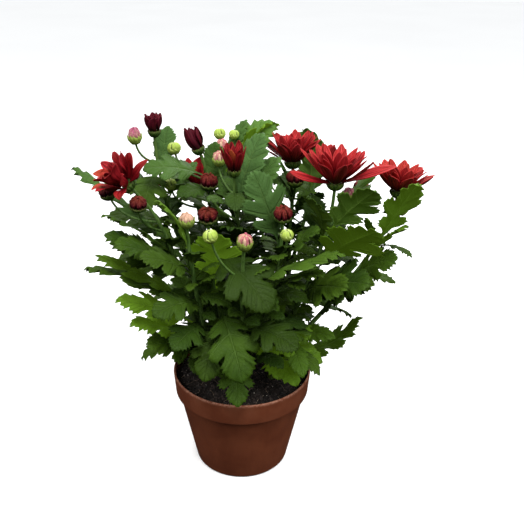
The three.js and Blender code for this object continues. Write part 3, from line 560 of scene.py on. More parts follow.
class Shell:
    """Gathers closed bodies of one piece: points in millimetres, faces and two point attributes.

    The map of a point is where it lies on its leaf or petal, and its tone is how that is coloured.
    """

    def __init__(self):
        self.points, self.faces, self.maps, self.tones = [], [], [], []
        self.count = 0

    def add(self, points, faces, maps, tone):
        self.points.append(points)
        self.faces.extend([i + self.count for i in face] for face in faces)
        self.maps.append(np.broadcast_to(maps, points.shape))
        self.tones.append(np.broadcast_to(tone, points.shape))
        self.count += len(points)

    def plate(self, upper, lower, across, along, tone):
        """A closed plate between two grids of points. The third number of its map is the side."""
        across, along = np.broadcast_arrays(across, along)
        n = across.size
        index = np.arange(n).reshape(across.shape)
        corners = [index[:-1, :-1], index[1:, :-1], index[1:, 1:], index[:-1, 1:]]
        top = np.stack([corner.ravel() for corner in corners], 1)
        rim = np.concatenate([index[:-1, 0], index[-1, :-1], index[:0:-1, -1], index[0, :0:-1]])
        after = np.roll(rim, -1)
        strip = np.stack([rim, rim + n, after + n, after], 1)
        faces = np.concatenate([top, top[:, ::-1] + n, strip]).tolist()
        maps = [np.stack([across, along, np.full(across.shape, side)], -1) for side in (0.0, 1.0)]
        points, maps = (np.concatenate([a.reshape(-1, 3), b.reshape(-1, 3)])
                        for a, b in ((upper, lower), maps))
        self.add(points, faces, maps, tone)

    def tube(self, points, radii, sides, tone, ribs):
        """A closed round rod through points, with lengthwise ribs."""
        points = np.asarray(points, float)
        along = np.gradient(points, axis=0)
        along /= np.linalg.norm(along, axis=1)[:, None]
        across = np.cross([0.13, 1, 0.07], along)
        across /= np.linalg.norm(across, axis=1)[:, None]
        third = np.cross(along, across)
        angle = 2 * math.pi * np.arange(sides) / sides
        reach = np.asarray(radii)[:, None] * (1 + ribs * np.cos(angle * sides / 2))[None, :]
        ring = (
            points[:, None]
            + across[:, None] * (reach * np.cos(angle))[..., None]
            + third[:, None] * (reach * np.sin(angle))[..., None]
        )
        rows = len(points)
        index = np.arange(rows * sides).reshape(rows, sides)
        right = np.roll(index, -1, axis=1)
        walls = [index[:-1], right[:-1], right[1:], index[1:]]
        first, last = np.full(sides, rows * sides), np.full(sides, rows * sides + 1)
        caps = [[right[0], index[0], first], [index[-1], right[-1], last]]
        faces = [np.stack([c.ravel() for c in part], 1).tolist() for part in (walls, *caps)]
        maps = np.zeros((rows, sides, 3))
        maps[..., 0] = np.arange(sides) / sides
        maps[..., 1] = np.linspace(0, 1, rows)[:, None]
        self.add(
            np.concatenate([ring.reshape(-1, 3), points[[0, -1]]]), sum(faces, []),
            np.concatenate([maps.reshape(-1, 3), [[0, 0, 0], [0, 1, 0]]]), tone,
        )

    def piece(self, name, material, slot, *nodes):
        """Makes the piece, with its faces turned outwards."""
        made = piece_of(name, np.concatenate(self.points), self.faces, material)
        for key, rows in (("surface_map", self.maps), ("surface_tone", self.tones)):
            values = np.concatenate(rows).astype(np.float32)
            attribute = made.data.attributes.new(key, "FLOAT_VECTOR", "POINT")
            attribute.data.foreach_set("vector", values.ravel())
        shape = bmesh.new()
        shape.from_mesh(made.data)
        bmesh.ops.recalc_face_normals(shape, faces=shape.faces)
        shape.to_mesh(made.data)
        shape.free()
        declare(made, slot, *nodes)


fibre = Finish("dry_root_fibre")
tone = fibre.noise(900.0)
fibre.coat(
    [tone.span(0.35, 0.65).blend((0.05, 0.032, 0.02), (0.24, 0.17, 0.11))],
    Roughness=tone.span(0.3, 0.7, 0.7, 0.9),
    Normal=tone.relief(0.0001),
)
fibres = Shell()
for i in range(FIBRE_COUNT):
    angle = math.radians(GOLDEN_ANGLE * i)
    radius = FIBRE_REACH * math.sqrt((i + 0.5) / FIBRE_COUNT)
    way, reach = angle + 3 * draw(5, i), 4.5 + 2.5 * draw(6, i)
    line = []
    for t in np.linspace(-1, 1, 7):
        turn = way + 0.7 * draw(7, i) * t
        x = radius * math.cos(angle) + reach * t * math.cos(turn)
        y = radius * math.sin(angle) + reach * t * math.sin(turn)
        x, y = np.array([x, y]) * min(1, FIBRE_LIMIT / math.hypot(x, y))
        lift = 0.7 + (1 + draw(8, i)) * (1 - t * t)
        line.append((x, y, crown(math.hypot(x, y)) + soil_bump(x, y, SOIL_LEVEL) + lift))
    fibres.tube(line, np.full(7, 0.16 + 0.05 * draw(9, i)), 5, (draw(10, i), 0, 0), 0)
fibres.piece("soil_fibres", fibre.material, "soil")

# ---------------------------------------------------------------- the five plants
# Five cuttings rooted in one pot. Each branches low into shoots that bow outwards and end in a
# head, with buds on side stalks. All places are in millimetres from the middle of the pot's base.
SHOOTS = {plant: [] for plant in ROOTS}
PLAIN_LEAF = dict(kind="grown", width=1, roll=0, arch=0.1, fold=0.12, curl=0.25, twist=0, painted_light=0)


def leaf(branch, x, y, z, width, roll, arch, painted_light=0, **form):
    """A leaf given one by one: the height at which it leaves its shoot, where its tip is, its form,
    and its painted light: a glow for light coming through it, or below zero painted shade for
    how deep it stands in the shade of others."""
    form = dict(width=width, roll=roll, arch=arch, painted_light=painted_light, **form)
    return {**PLAIN_LEAF, "branch": branch, "tip": vector(x, y, z), **form}


def young(*form):
    return leaf(*form, kind="young")


def bud(kind, size, branch, top, axis):
    """A bud on a side stalk that leaves its shoot at the height branch."""
    return dict(kind=kind, size=size, branch=branch, top=top, axis=axis)


def add_shoot(plant, kind, size, top, axis, lean, spiral, leaves, buds=(), **form):
    """A shoot and its head. It leans to a place low down, and its spiral is the leaves that
    follow it round: count, lowest height, highest height and length. In its form, fork is the
    height at which it leaves the plant's first shoot, opening lays its petals flatter, and apart
    is the petals that hang away from the others: azimuth, elevation and length."""
    form = dict(kind=kind, size=size, top=top, axis=axis, lean=lean, **form)
    SHOOTS[plant].append({**form, "spiral": spiral, "leaves": leaves, "buds": buds})


# A leaf row's number after its arch is its painted light: a glow above nought, painted shade below.
add_shoot(
    "plant_left", "bloom", 28, (-84, -20, 259), (-0.66, -0.22, 0.72), (-46, -18),
    (3, 112, 210, 42),
    [
        leaf(212, -142, 34, 259, 0.24, 10, 0.02), young(202, -104, -34, 243, 0.5, 10, 0.04),
        leaf(188, -90, -60, 229, 0.7, -25, 0.06, 0.05),
        leaf(174, -103, -36, 228, 0.6, -30, 0.06, 0.1),
        leaf(158, -111, -38, 211, 0.26, -30, 0.04, 0.35),
        leaf(152, -121, -38, 199, 0.55, -20, 0.08, twist=40),
        leaf(138, -91, -50, 189, 0.55, -25, 0.05, 0.65),
        leaf(124, -85, -52, 160, 0.62, -15, 0.06, 0.6), leaf(108, -74, -50, 140, 0.8, -30, 0.1),
    ],
    [
        bud("dark", 6.4, 230, (-103, -8, 247), (-0.3, -0.1, 0.95)),
        bud("dark", 6.2, 222, (-77, -33, 247), (0.1, -0.3, 0.95)),
    ],
    opening=-24, apart=[(0, 12, 25), (40, 44, 20), (-40, 40, 20), (-80, 4, 18)],
)
add_shoot(
    "plant_left", "pink", 5.6, (-39, -49, 241), (0, -0.15, 1), (-28, -40), (5, 112, 220, 40),
    [
        leaf(196, -72, -66, 222, 0.95, -20, 0.1, -0.5),
        leaf(208, -63, -36, 256, 0.9, 35, 0.1, 0.5),
        leaf(172, -64, -72, 178, 0.9, -30, 0.14, -0.3),
        leaf(146, -50, -74, 150, 0.9, -15, 0.16, -0.2),
        young(114, -36, -62, 122, 0.95, -10, 0.14, -0.6),
    ],
    fork=94,
)
add_shoot(
    "plant_front", "dark", 7.2, (-25, -32, 238), (0, -0.35, 0.93), (-16, -38), (4, 112, 222, 42),
    [
        leaf(176, -16, -52, 234, 0.95, 0, 0.04, 0.85, fold=0.2),
        leaf(206, 23, -76, 184, 0.9, 15, 0.18, -0.75),
        leaf(164, 14, -78, 126, 0.85, 20, 0.16, 0.1), leaf(120, -1, -74, 99, 0.8, -5, 0.16, 0.2),
        leaf(150, -27, -74, 122, 0.85, -10, 0.16, -0.6),
    ],
)
add_shoot(
    "plant_front", "pink", 5.6, (3, -59, 228), (0.1, -0.2, 1), (6, -44), (4, 112, 205, 40),
    [leaf(190, 72, -62, 235, 0.42, -5, 0.04), leaf(150, 44, -74, 152, 0.95, 15, 0.16, -0.8)],
    [bud("green", 4.8, 200, (-20, -68, 237), (-0.2, -0.1, 1))],
    fork=92,
)
add_shoot(
    "plant_front", "dark", 6.2, (31, -34, 240), (0, -0.25, 1), (24, -46), (4, 112, 222, 42),
    [
        leaf(214, 8, -26, 276, 0.85, -45, 0.04, -0.25), leaf(184, 62, -58, 207, 0.85, 0, 0.08),
        leaf(200, 58, -42, 238, 0.9, 10, 0.06), young(116, 34, -62, 128, 0.9, 0, 0.16),
    ],
    [bud("green", 4.4, 212, (34, -48, 231), (0, -0.1, 1))],
    fork=96,
)
add_shoot(
    "plant_right", "bloom", 31, (71, -10, 258), (0.03, 0.05, 1), (40, -14), (3, 140, 232, 42),
    [
        leaf(212, 50, -30, 258, 0.95, -20, 0.1), leaf(220, 99, -36, 266, 0.9, -45, 0.04, 0.3),
        leaf(220, 106, 18, 264, 1, -30, 0.04, 0.25), young(206, 66, 2, 254, 1, -20, 0.08),
        leaf(196, 99, -56, 241, 1, -40, 0.04, 0.55), leaf(168, 80, -58, 196, 0.9, 40, 0.1, -0.2),
        leaf(140, 36, -62, 149, 1.05, 0, 0.08, -0.4), leaf(178, 99, -46, 209, 0.95, 45, 0.06),
        young(124, 50, -60, 118, 0.8, 0, 0.16, 0.3), young(112, 64, -50, 114, 0.7, 0, 0.18, -0.2),
    ],
    [bud("pink", 4.6, 226, (82, 0, 246), (0.2, 0, 1))],
    apart=[(186, 8, 36), (-6, 16, 42)],
)
add_shoot(
    "plant_right", "bloom", 25, (123, 6, 247), (0.1, 0.05, 1), (68, -10), (3, 170, 240, 42),
    [
        leaf(206, 127, -44, 275, 0.5, -10, 0.02, 0.65),
        young(198, 104, -12, 237, 0.9, -30, 0.06, 0.3),
        leaf(196, 129, -34, 241, 0.75, 20, 0.04, 0.45),
        leaf(180, 117, -34, 217, 0.8, 52, 0.08, 0.25), leaf(160, 109, -36, 194, 0.75, 52, 0.1),
        leaf(146, 82, -42, 182, 0.7, 40, 0.06), leaf(108, 97, -20, 152, 0.45, 20, -0.16, 0.3),
        young(122, 76, -38, 142, 0.8, 35, 0.2, 0.3),
    ],
    [bud("pink", 5, 214, (127, 8, 232), (0.3, 0.1, 1))],
    fork=94,
)
add_shoot(
    "plant_rear_left", "half", 16, (-72, 30, 287), (0, -0.05, 1), (-42, 26), (6, 126, 236, 64),
    [
        young(254, -64, 44, 293, 1.1, 0, 0.04, 0.1), leaf(256, -78, -8, 236, 1.1, 0, 0.14, 0.15),
        leaf(232, -108, 26, 256, 0.9, -10, 0.1), leaf(206, -112, 16, 222, 0.95, -10, 0.12, 0.3),
    ],
    [bud("pink", 5.4, 264, (-85, 16, 285), (-0.1, -0.05, 1))],
    opening=-8,
)
add_shoot(
    "plant_rear_left", "half", 16.5, (-34, 10, 279), (-0.35, -0.1, 0.93), (-24, 18),
    (4, 120, 238, 42),
    [
        leaf(258, -79, 4, 267, 0.95, -20, 0.1), young(240, -50, -16, 256, 0.95, -20, 0.2, -0.15),
        young(246, -24, 30, 284, 1.1, 0, 0.04, 0.15),
    ],
    [
        bud("green", 5, 256, (-56, 30, 273), (-0.2, 0.1, 1)),
        bud("green", 4.6, 232, (-59, 20, 246), (-0.2, 0, 1)),
    ],
    fork=96, opening=-12,
)
add_shoot(
    "plant_rear_left", "bloom", 27, (-46, 78, 224), (-0.25, 0.7, 0.7), (-30, 46),
    (10, 100, 214, 74),
    [],
    [
        bud("dark", 6.4, 200, (-84, 64, 226), (-0.5, 0.3, 0.9)),
        bud("pink", 5.4, 176, (-68, 86, 198), (-0.3, 0.6, 0.8)),
    ],
    fork=92,
)
add_shoot(
    "plant_rear_right", "bloom", 26, (40, 32, 262), (-0.05, 0.05, 1), (34, 26), (4, 140, 236, 52),
    [
        leaf(234, 16, 2, 264, 1.1, -30, 0.1, -0.15), leaf(214, 14, -14, 250, 1, -10, 0.1, -0.2),
        young(230, 27, 12, 273, 1, -40, 0.08), young(218, 56, 10, 257, 1, -30, 0.08),
    ],
    [bud("dark", 6.4, 236, (41, 3, 256), (0, -0.1, 1))],
)
add_shoot(
    "plant_rear_right", "half", 20, (-6, -15, 269), (0, -0.12, 1), (6, 4), (5, 120, 238, 42),
    [
        young(250, -4, -44, 250, 1.15, 0, 0.24, -0.6), young(236, -24, -36, 260, 0.9, -10, 0.14),
        leaf(200, -8, -46, 238, 0.9, 0, 0.1), young(240, 15, 8, 297, 0.9, 10, 0.06),
        young(234, 24, -2, 284, 1, 20, 0.06, 0.15),
    ],
    [
        bud("dark", 6.4, 230, (-26, 0, 253), (0, -0.1, 1)),
        bud("pink", 5, 252, (-19, 10, 270), (0, -0.1, 1)),
    ],
    fork=100, opening=4,
)
add_shoot(
    "plant_rear_right", "green", 4.4, (-20, 42, 283), (-0.1, 0.1, 1), (2, 30), (5, 116, 240, 56),
    [
        leaf(254, 28, 46, 295, 0.95, -40, 0.06, 1), young(258, 1, 54, 296, 0.8, 0, 0.04, 0.15),
        young(240, 9, 30, 291, 0.9, 0, 0.04, 0.3),
    ],
    [
        bud("pink", 5, 262, (-18, 30, 275), (0, -0.2, 1)),
        bud("green", 3.8, 264, (-9, 42, 283), (0.2, 0, 1)),
    ],
    fork=96,
)
add_shoot(
    "plant_rear_right", "bloom", 26, (64, 80, 240), (0.25, 0.6, 0.75), (38, 46),
    (10, 100, 226, 74),
    [young(222, 53, 62, 288, 1.1, 0, 0.04, 0.25)],
    [
        bud("dark", 6.2, 214, (98, 54, 232), (0.5, 0.2, 0.9)),
        bud("pink", 5.4, 222, (22, 94, 234), (0, 0.4, 0.9)),
    ],
    fork=92,
)


def unit(values):
    return np.asarray(values, float) / np.linalg.norm(values)


def shoot_curve(start, shoot):
    end = vector(*shoot["top"])
    rise = end[2] - start[2]
    low = vector(*shoot["lean"], start[2] + 0.4 * rise)
    return curve_of(start, low, end - unit(shoot["axis"]) * 0.3 * rise, end)


def point_at_height(curve, z):
    low, high = 0.0, 1.0
    for _ in range(30):
        middle = (low + high) / 2
        low, high = (middle, high) if curve(middle)[2] < z else (low, middle)
    return curve(low)


def stalk_curve(curve, one):
    start, end = point_at_height(curve, one["branch"]), vector(*one["top"])
    return curve_of(start, end - unit(one["axis"]) * 0.5 * np.linalg.norm(end - start), end)


# ---------------------------------------------------------------- stems
# Green, slightly ribbed stems. Each plant's first stem stands in the soil; the others fork off
# it, and thin stalks branch off them to the side buds. They are a little swollen at each fork.
STEM_BASE_RADIUS, STEM_TOP_RADIUS, STEM_RINGS, STEM_SIDES = 2.4, 1.3, 44, 12
STALK_RADIUS, STALK_FOOT_RADIUS, STALK_RINGS, STALK_SIDES = 1.05, 1.35, 16, 10
STEM_RIBS, STALK_RIBS, STEM_SWAY = 0.05, 0.04, 0.25
ROOTED_DEPTH, FORK_DEPTH = 26, 1.5

bark = Finish("green_stem")
streaks = bark.noise(900.0, 3.0, 0.6, stretch=(1, 1, 0.06))
woody = bark.place("Z").span(0.19, 0.09) * bark.noise(70.0).span(0.35, 0.6) * 0.7
bark.coat(
    [
        streaks.span(0.35, 0.7).blend((0.045, 0.1, 0.016), (0.11, 0.185, 0.045)),
        (woody, (0.06, 0.05, 0.014)),
    ],
    Roughness=streaks.span(0.3, 0.7, 0.6, 0.45),
    Specular_IOR_Level=0.15,
    Normal=streaks.relief(0.0005),
)

for plant, shoots in SHOOTS.items():
    shell = Shell()
    for k, shoot in enumerate(shoots):
        if k == 0:
            start, depth = vector(*ROOTS[plant], SOIL_LEVEL), ROOTED_DEPTH
        else:
            start, depth = point_at_height(shoots[0]["curve"], shoot["fork"]), FORK_DEPTH
        curve = shoot["curve"] = shoot_curve(start, shoot)
        shares = np.linspace(0, 1, STEM_RINGS)
        line = [curve(0) - vector(0, 0, depth)] + [curve(t) for t in shares]
        for point, t in zip(line[1:], shares):
            point[0] += STEM_SWAY * math.sin(17 * t + k) * min(1, 6 * t * (1 - t))
        radii = STEM_BASE_RADIUS + (STEM_TOP_RADIUS - STEM_BASE_RADIUS) * shares
        radii = radii * (0.9 + 0.1 * np.cos(40 * shares + k) ** 8)
        shell.tube(line, [radii[0], *radii], STEM_SIDES, (draw(k, 3), 0, 0), STEM_RIBS)
        for one in shoot["buds"]:
            stalk = stalk_curve(curve, one)
            rod = [stalk(t) for t in np.linspace(0, 1, STALK_RINGS)]
            radii = STALK_RADIUS * np.linspace(0.95, 0.8, STALK_RINGS)
            radii[0] = STALK_FOOT_RADIUS
            shell.tube(rod, radii, STALK_SIDES, (draw(k, 5), 1, 0), STALK_RIBS)
    shell.piece(f"{plant}_stems", bark.material, "foliage", plant)

# ---------------------------------------------------------------- leaves
# Thin soft leaves on short flat stalks, cut into forward-pointing lobes with blunt teeth. Side
# veins run from the midrib into the lobes, sunk in the upper face and raised on the lower one.
# Small leaves sprout in the axils of the big ones and close the plant's middle.
NECK_WIDTH, LEAF_THICKNESS, LEAST_HALF = 1, 0.32, 0.25
PUFF, WAVE, DROOP = 0.013, 0.018, 0.026
RIB_WIDTH, RIB_SUNK, RIB_RAISED, RIB_TAPER, VEIN_BOW = 0.55, 0.22, 0.75, 0.85, 1.25
# Leaves that follow a shoot round fan out by up to so many degrees. The lowest hang by the tilt,
# the highest stand up by the rise more, and those are shorter.
FAN, SPIRAL_TILT, SPIRAL_RISE, SPIRAL_SHORTER = 100, -14, 52, 0.35
SMALL_LOWEST, SMALL_HIGHEST, SMALL_STEP, SMALL_TILT, SMALL_RISE = 98, 0.86, 6, -16, 46
SMALL_WIDTH, SMALL_ARCH, SMALL_LENGTH = 1.15, 0.14, 25
SMALL_LENGTHS = {"plant_rear_left": 34, "plant_rear_right": 36}
# The plant's outline opens like a cone: radius at its foot, slope, height of its foot, lowest tip.
INSIDE_RADIUS, INSIDE_SLOPE, INSIDE_FOOT, LOWEST_TIP = 46, 0.33, 100, 93
# How far a leaf is swung, shortened, rolled and arched at most where it had no room.
BEND_SWING, BEND_SHORTER, BEND_ROLL, BEND_ARCH = 0.42, 0.16, 24, 0.05
BENDS_TRIED, SOLID_THICKNESS = 28, 0.8
CORNER_REACH, FEWEST_CORNERS = 0.03, 0.25

# The solids' half outlines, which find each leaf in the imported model: along and out.
SOLID_EDGES = {
    "grown": [(0.4, 0.27), (0.44, 0.12), (0.68, 0.36), (0.69, 0.15), (0.86, 0.23)],
    "young": [(0.42, 0.18), (0.65, 0.24), (0.86, 0.16)],
}

# The true half outlines: along, out, where its vein leaves the rib, and count of veins so far.
# A whole count is a vein into a lobe or a tooth, and a half is the dip between two.
EDGES = {
    "grown": [
        (0.17, 0.014, 0.17, 0.5), (0.22, 0.035, 0.2, 0.55), (0.27, 0.09, 0.22, 0.6),
        (0.3, 0.145, 0.232, 0.65), (0.335, 0.225, 0.243, 0.75), (0.35, 0.21, 0.25, 0.8),
        (0.385, 0.272, 0.26, 0.87), (0.397, 0.248, 0.267, 0.92), (0.44, 0.288, 0.277, 1),
        (0.442, 0.252, 0.288, 1.1), (0.474, 0.246, 0.298, 1.2), (0.468, 0.2, 0.315, 1.3),
        (0.45, 0.15, 0.338, 1.4), (0.44, 0.115, 0.36, 1.5), (0.462, 0.125, 0.376, 1.58),
        (0.5, 0.172, 0.395, 1.66), (0.53, 0.22, 0.408, 1.72), (0.56, 0.288, 0.42, 1.78),
        (0.57, 0.265, 0.428, 1.83), (0.612, 0.348, 0.44, 1.9), (0.622, 0.318, 0.45, 1.94),
        (0.678, 0.375, 0.463, 2), (0.678, 0.33, 0.477, 2.07), (0.728, 0.33, 0.492, 2.14),
        (0.716, 0.288, 0.508, 2.2), (0.75, 0.272, 0.522, 2.26), (0.727, 0.22, 0.545, 2.36),
        (0.7, 0.178, 0.565, 2.44), (0.685, 0.145, 0.585, 2.5), (0.71, 0.15, 0.6, 2.58),
        (0.755, 0.188, 0.62, 2.7), (0.802, 0.238, 0.64, 2.82), (0.81, 0.206, 0.652, 2.9),
        (0.855, 0.234, 0.67, 3), (0.852, 0.195, 0.69, 3.5), (0.898, 0.202, 0.715, 4),
        (0.893, 0.164, 0.745, 4.5), (0.938, 0.156, 0.78, 5), (0.932, 0.12, 0.81, 5.5),
        (0.97, 0.1, 0.86, 6), (0.967, 0.066, 0.9, 6.5), (0.99, 0.038, 0.95, 6.8),
        (1, 0.008, 0.985, 7),
    ],
    "young": [
        (0.16, 0.016, 0.16, 0.5), (0.22, 0.04, 0.2, 0.6), (0.29, 0.1, 0.235, 0.7),
        (0.33, 0.135, 0.25, 0.78), (0.37, 0.186, 0.27, 0.87), (0.382, 0.168, 0.28, 0.92),
        (0.425, 0.214, 0.3, 1), (0.422, 0.18, 0.315, 1.15), (0.456, 0.175, 0.33, 1.3),
        (0.448, 0.146, 0.352, 1.5), (0.485, 0.163, 0.38, 1.65), (0.535, 0.198, 0.408, 1.75),
        (0.575, 0.25, 0.425, 1.87), (0.583, 0.226, 0.437, 1.93), (0.635, 0.27, 0.457, 2),
        (0.635, 0.232, 0.48, 2.17), (0.676, 0.23, 0.5, 2.3), (0.66, 0.188, 0.53, 2.5),
        (0.7, 0.19, 0.56, 2.65), (0.752, 0.228, 0.593, 2.85), (0.757, 0.2, 0.61, 2.93),
        (0.805, 0.22, 0.635, 3), (0.805, 0.18, 0.67, 3.5), (0.86, 0.18, 0.715, 4),
        (0.858, 0.146, 0.75, 4.5), (0.912, 0.142, 0.79, 5), (0.908, 0.106, 0.82, 5.5),
        (0.955, 0.09, 0.87, 6), (0.955, 0.058, 0.9, 6.5), (0.985, 0.034, 0.95, 6.8),
        (1, 0.008, 0.985, 7),
    ],
    "small": [
        (0.14, 0.02, 0.14, 0.5), (0.28, 0.12, 0.24, 0.75), (0.37, 0.19, 0.28, 0.9),
        (0.44, 0.225, 0.31, 1), (0.42, 0.15, 0.36, 1.5), (0.5, 0.18, 0.41, 1.7),
        (0.57, 0.255, 0.44, 1.9), (0.66, 0.28, 0.48, 2), (0.67, 0.185, 0.56, 2.5),
        (0.77, 0.22, 0.62, 3), (0.79, 0.16, 0.69, 3.5), (0.87, 0.17, 0.74, 4),
        (0.88, 0.11, 0.81, 4.5), (0.95, 0.09, 0.87, 5), (1, 0.01, 0.98, 6),
    ],
}

# Small leaves, one by one: plant, shoot, arch, roll and painted light, then the height and tip of
# each.
SPROUTS = [
    ("plant_right", 0, 0.16, 10, 0.55, [
        (100, 46, -50, 104), (104, 31, -50, 110), (108, 60, -32, 127), (112, 68, -28, 112),
        (112, 21, -52, 127), (118, 40, -48, 130), (124, 54, -46, 146),
    ]),
    ("plant_rear_right", 2, 0.04, 40, 0.35, [(262, 25, 44, 296)]),
]


def blade_points(leaf, s, q, lift):
    """Points of a leaf: s along its rib from 0 to 1, q across it and lift out of it in mm."""
    reach = leaf["tip"] - leaf["foot"]
    length = np.linalg.norm(reach)
    along = reach / length
    flat = unit([-along[1], along[0], 0])
    turn = np.radians(leaf["roll"] + leaf["twist"] * s)[..., None]
    side = flat * np.cos(turn) + np.cross(along, flat) * np.sin(turn)
    up = np.cross(np.broadcast_to(along, side.shape), side)
    out = up - along * (4 * leaf["arch"] * (1 - 2 * s))[..., None]
    out /= np.linalg.norm(out, axis=-1)[..., None]
    bow = 4 * leaf["arch"] * s * (1 - s) * length
    rise = leaf["fold"] * np.sqrt(q * q + 0.3) - leaf["curl"] * q * q / length + lift
    return (
        leaf["foot"] + along * (s * length)[..., None] + up * bow[..., None]
        + side * q[..., None] + out * rise[..., None]
    )


def spiral_leaves(shoot, seed):
    """The leaves that follow a shoot round, spread by the same draws as the solids'."""
    count, lowest, highest, length = shoot["spiral"]
    made = []
    for i in range(count):
        share = (i + 0.5) / count
        foot = point_at_height(shoot["curve"], lowest + (highest - lowest) * share)
        azimuth = math.degrees(math.atan2(foot[1], foot[0])) + FAN * draw(seed + 3, 1.3 * i)
        elevation = SPIRAL_TILT + SPIRAL_RISE * share + 10 * draw(seed + 5, i)
        reach = length * (1.05 - SPIRAL_SHORTER * share) * (1 + 0.12 * draw(seed + 9, i))
        # Some leaves get a random painted light, a glow that stands for light through them.
        made.append({
            **PLAIN_LEAF,
            "width": 1 + 0.12 * draw(seed + 11, i),
            "roll": 18 * draw(seed + 15, i),
            "arch": 0.12 + 0.06 * draw(seed + 17, i),
            "kind": "young" if share > 0.5 or length < 50 else "grown",
            "foot": foot,
            "tip": foot + reach * heading(azimuth, elevation),
            "painted_light": 0.5 * max(0, draw(seed + 19, i) - 0.4),
        })
    return made


def small_leaf(shoot, height, arch, roll, painted_light):
    foot = point_at_height(shoot["curve"], height)
    form = dict(kind="small", width=SMALL_WIDTH, arch=arch, roll=roll, painted_light=painted_light, foot=foot)
    return {**PLAIN_LEAF, **form}


def axil_leaves(shoot, seed, length):
    """Small leaves up a shoot, where they stay inside the plant's outline."""
    made, top = [], shoot["top"][2]
    for i, height in enumerate(np.arange(SMALL_LOWEST, SMALL_HIGHEST * top, SMALL_STEP)):
        # The small leaves take painted light in turn: none, a little, then twice as much.
        roll, painted_light = 25 * draw(seed + 4, i), 0.08 * (i % 3)
        small = small_leaf(shoot, height + 3 * draw(seed, i), SMALL_ARCH, roll, painted_light)
        azimuth = GOLDEN_ANGLE * i + 50 * draw(seed + 1, i)
        elevation = SMALL_TILT + SMALL_RISE * height / top + 22 * draw(seed + 2, i)
        reach = length * (1 + 0.3 * draw(seed + 3, i))
        tip = small["tip"] = small["foot"] + reach * heading(azimuth, elevation)
        outline = INSIDE_RADIUS + INSIDE_SLOPE * (tip[2] - INSIDE_FOOT)
        if math.hypot(tip[0], tip[1]) < outline and tip[2] > LOWEST_TIP:
            made.append(small)
    return made


def bent(wished, k):
    """The leaf swung aside, as the solids swing those that had no room."""
    amount = math.sqrt(k / BENDS_TRIED)
    swing, lift = math.radians(k * GOLDEN_ANGLE), BEND_SWING * amount
    reach = wished["tip"] - wished["foot"]
    level = unit([-reach[1], reach[0], 0])
    upward = np.cross(unit(reach), level)
    length = np.linalg.norm(reach) * (1 - BEND_SHORTER * amount * amount)
    way = unit(unit(reach) + level * lift * math.cos(swing) + upward * lift * math.sin(swing))
    return {
        **wished,
        "tip": wished["foot"] + way * length,
        "roll": wished["roll"] + BEND_ROLL * amount * math.cos(2.4 * k),
        "arch": wished["arch"] + BEND_ARCH * amount * math.sin(1.7 * k),
    }


def found_leaf(wished, corners):
    """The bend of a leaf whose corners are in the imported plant, or None where it was left out."""
    edge = SOLID_EDGES[wished["kind"]]
    s = vector(*(along for along, _ in edge for _ in range(4)), 1, 1)
    shares = vector(*(sign * out for _, out in edge for sign in (1, 1, -1, -1)), 0, 0)
    best, found = FEWEST_CORNERS, None
    for k in range(BENDS_TRIED):
        tried = bent(wished, k) if k else wished
        q = shares * tried["width"] * np.linalg.norm(tried["tip"] - tried["foot"])
        lift = np.tile([SOLID_THICKNESS / 2, -SOLID_THICKNESS / 2], 2 * len(edge) + 1)
        lift = lift + tried["fold"] * (np.abs(q) - np.sqrt(q * q + 0.3))
        expected = blade_points(tried, s, q, lift)
        apart = np.linalg.norm(expected[:, None] - corners[None], axis=2).min(axis=1)
        share = float(np.mean(apart < CORNER_REACH))
        if share > best + 1e-6:
            best, found = share, tried
    return found


def grow_leaf(shell, leaf, seed):
    """Adds one leaf: its stalk, then rows along the veins from the left edge to the right one."""
    length = np.linalg.norm(leaf["tip"] - leaf["foot"])
    small = leaf["kind"] == "small"
    edge = np.array(EDGES[leaf["kind"]])
    neck = edge[0, 0]
    across = vector(*([0, 0.1, 0.4, 0.7, 1] if small else [0, 0.1, 0.3, 0.5, 0.7, 0.87, 1]))
    same = np.ones(len(across))
    rows = [
        (same * s, across * NECK_WIDTH * (1.2 - 0.5 * s / neck), same * 0.5)
        for s in np.linspace(0, neck, 3 if small else 6)[:-1]
    ]
    for k, (s, q, root, count) in enumerate(edge):
        spread = 1 + 0.05 * draw(seed + 1, k) if 2 < k < len(edge) - 3 else 1
        reach = max(q * leaf["width"] * length, LEAST_HALF) * spread
        t = across.copy()
        t[1] = min(0.7 / reach, 0.16)
        t[2:] = t[1] + (1 - t[1]) * (across[2:] - 0.1) / 0.9
        rows.append((root + (s - root) * t**VEIN_BOW, reach * t, same * count))
    s, q, count = (np.array(part) for part in zip(*rows))
    s, q, count = (
        np.concatenate([sign * part[:, :0:-1], part], axis=1)
        for sign, part in ((1, s), (-1, q), (1, count))
    )
    t = np.abs(q) / np.maximum(np.abs(q).max(axis=1), 1e-6)[:, None]
    in_blade = np.clip((s - neck) / 0.12, 0, 1)
    # Between its veins the blade puffs up; its edge waves and its lobes droop a little.
    puff = 0.5 * (1 - np.cos(2 * np.pi * count)) * 4 * t * (1 - t)
    wave = np.sin(np.pi * count + seed) * t * t
    droop = (0.5 + 0.5 * np.cos(2 * np.pi * count)) * t**3
    lift = in_blade * (PUFF * puff + WAVE * wave - DROOP * droop) * length
    rib = np.exp(-((q / RIB_WIDTH) ** 2)) * (1.05 - RIB_TAPER * s)
    upper = blade_points(leaf, s, q, lift + LEAF_THICKNESS / 2 - RIB_SUNK * rib * in_blade)
    lower = blade_points(leaf, s, q, lift - LEAF_THICKNESS / 2 - RIB_RAISED * rib)
    tone = (0.5 + 0.5 * draw(seed, 2), leaf["painted_light"], min(1.0, leaf["tip"][2] / 300))
    shell.plate(upper, lower, count, t * np.sign(q), tone)


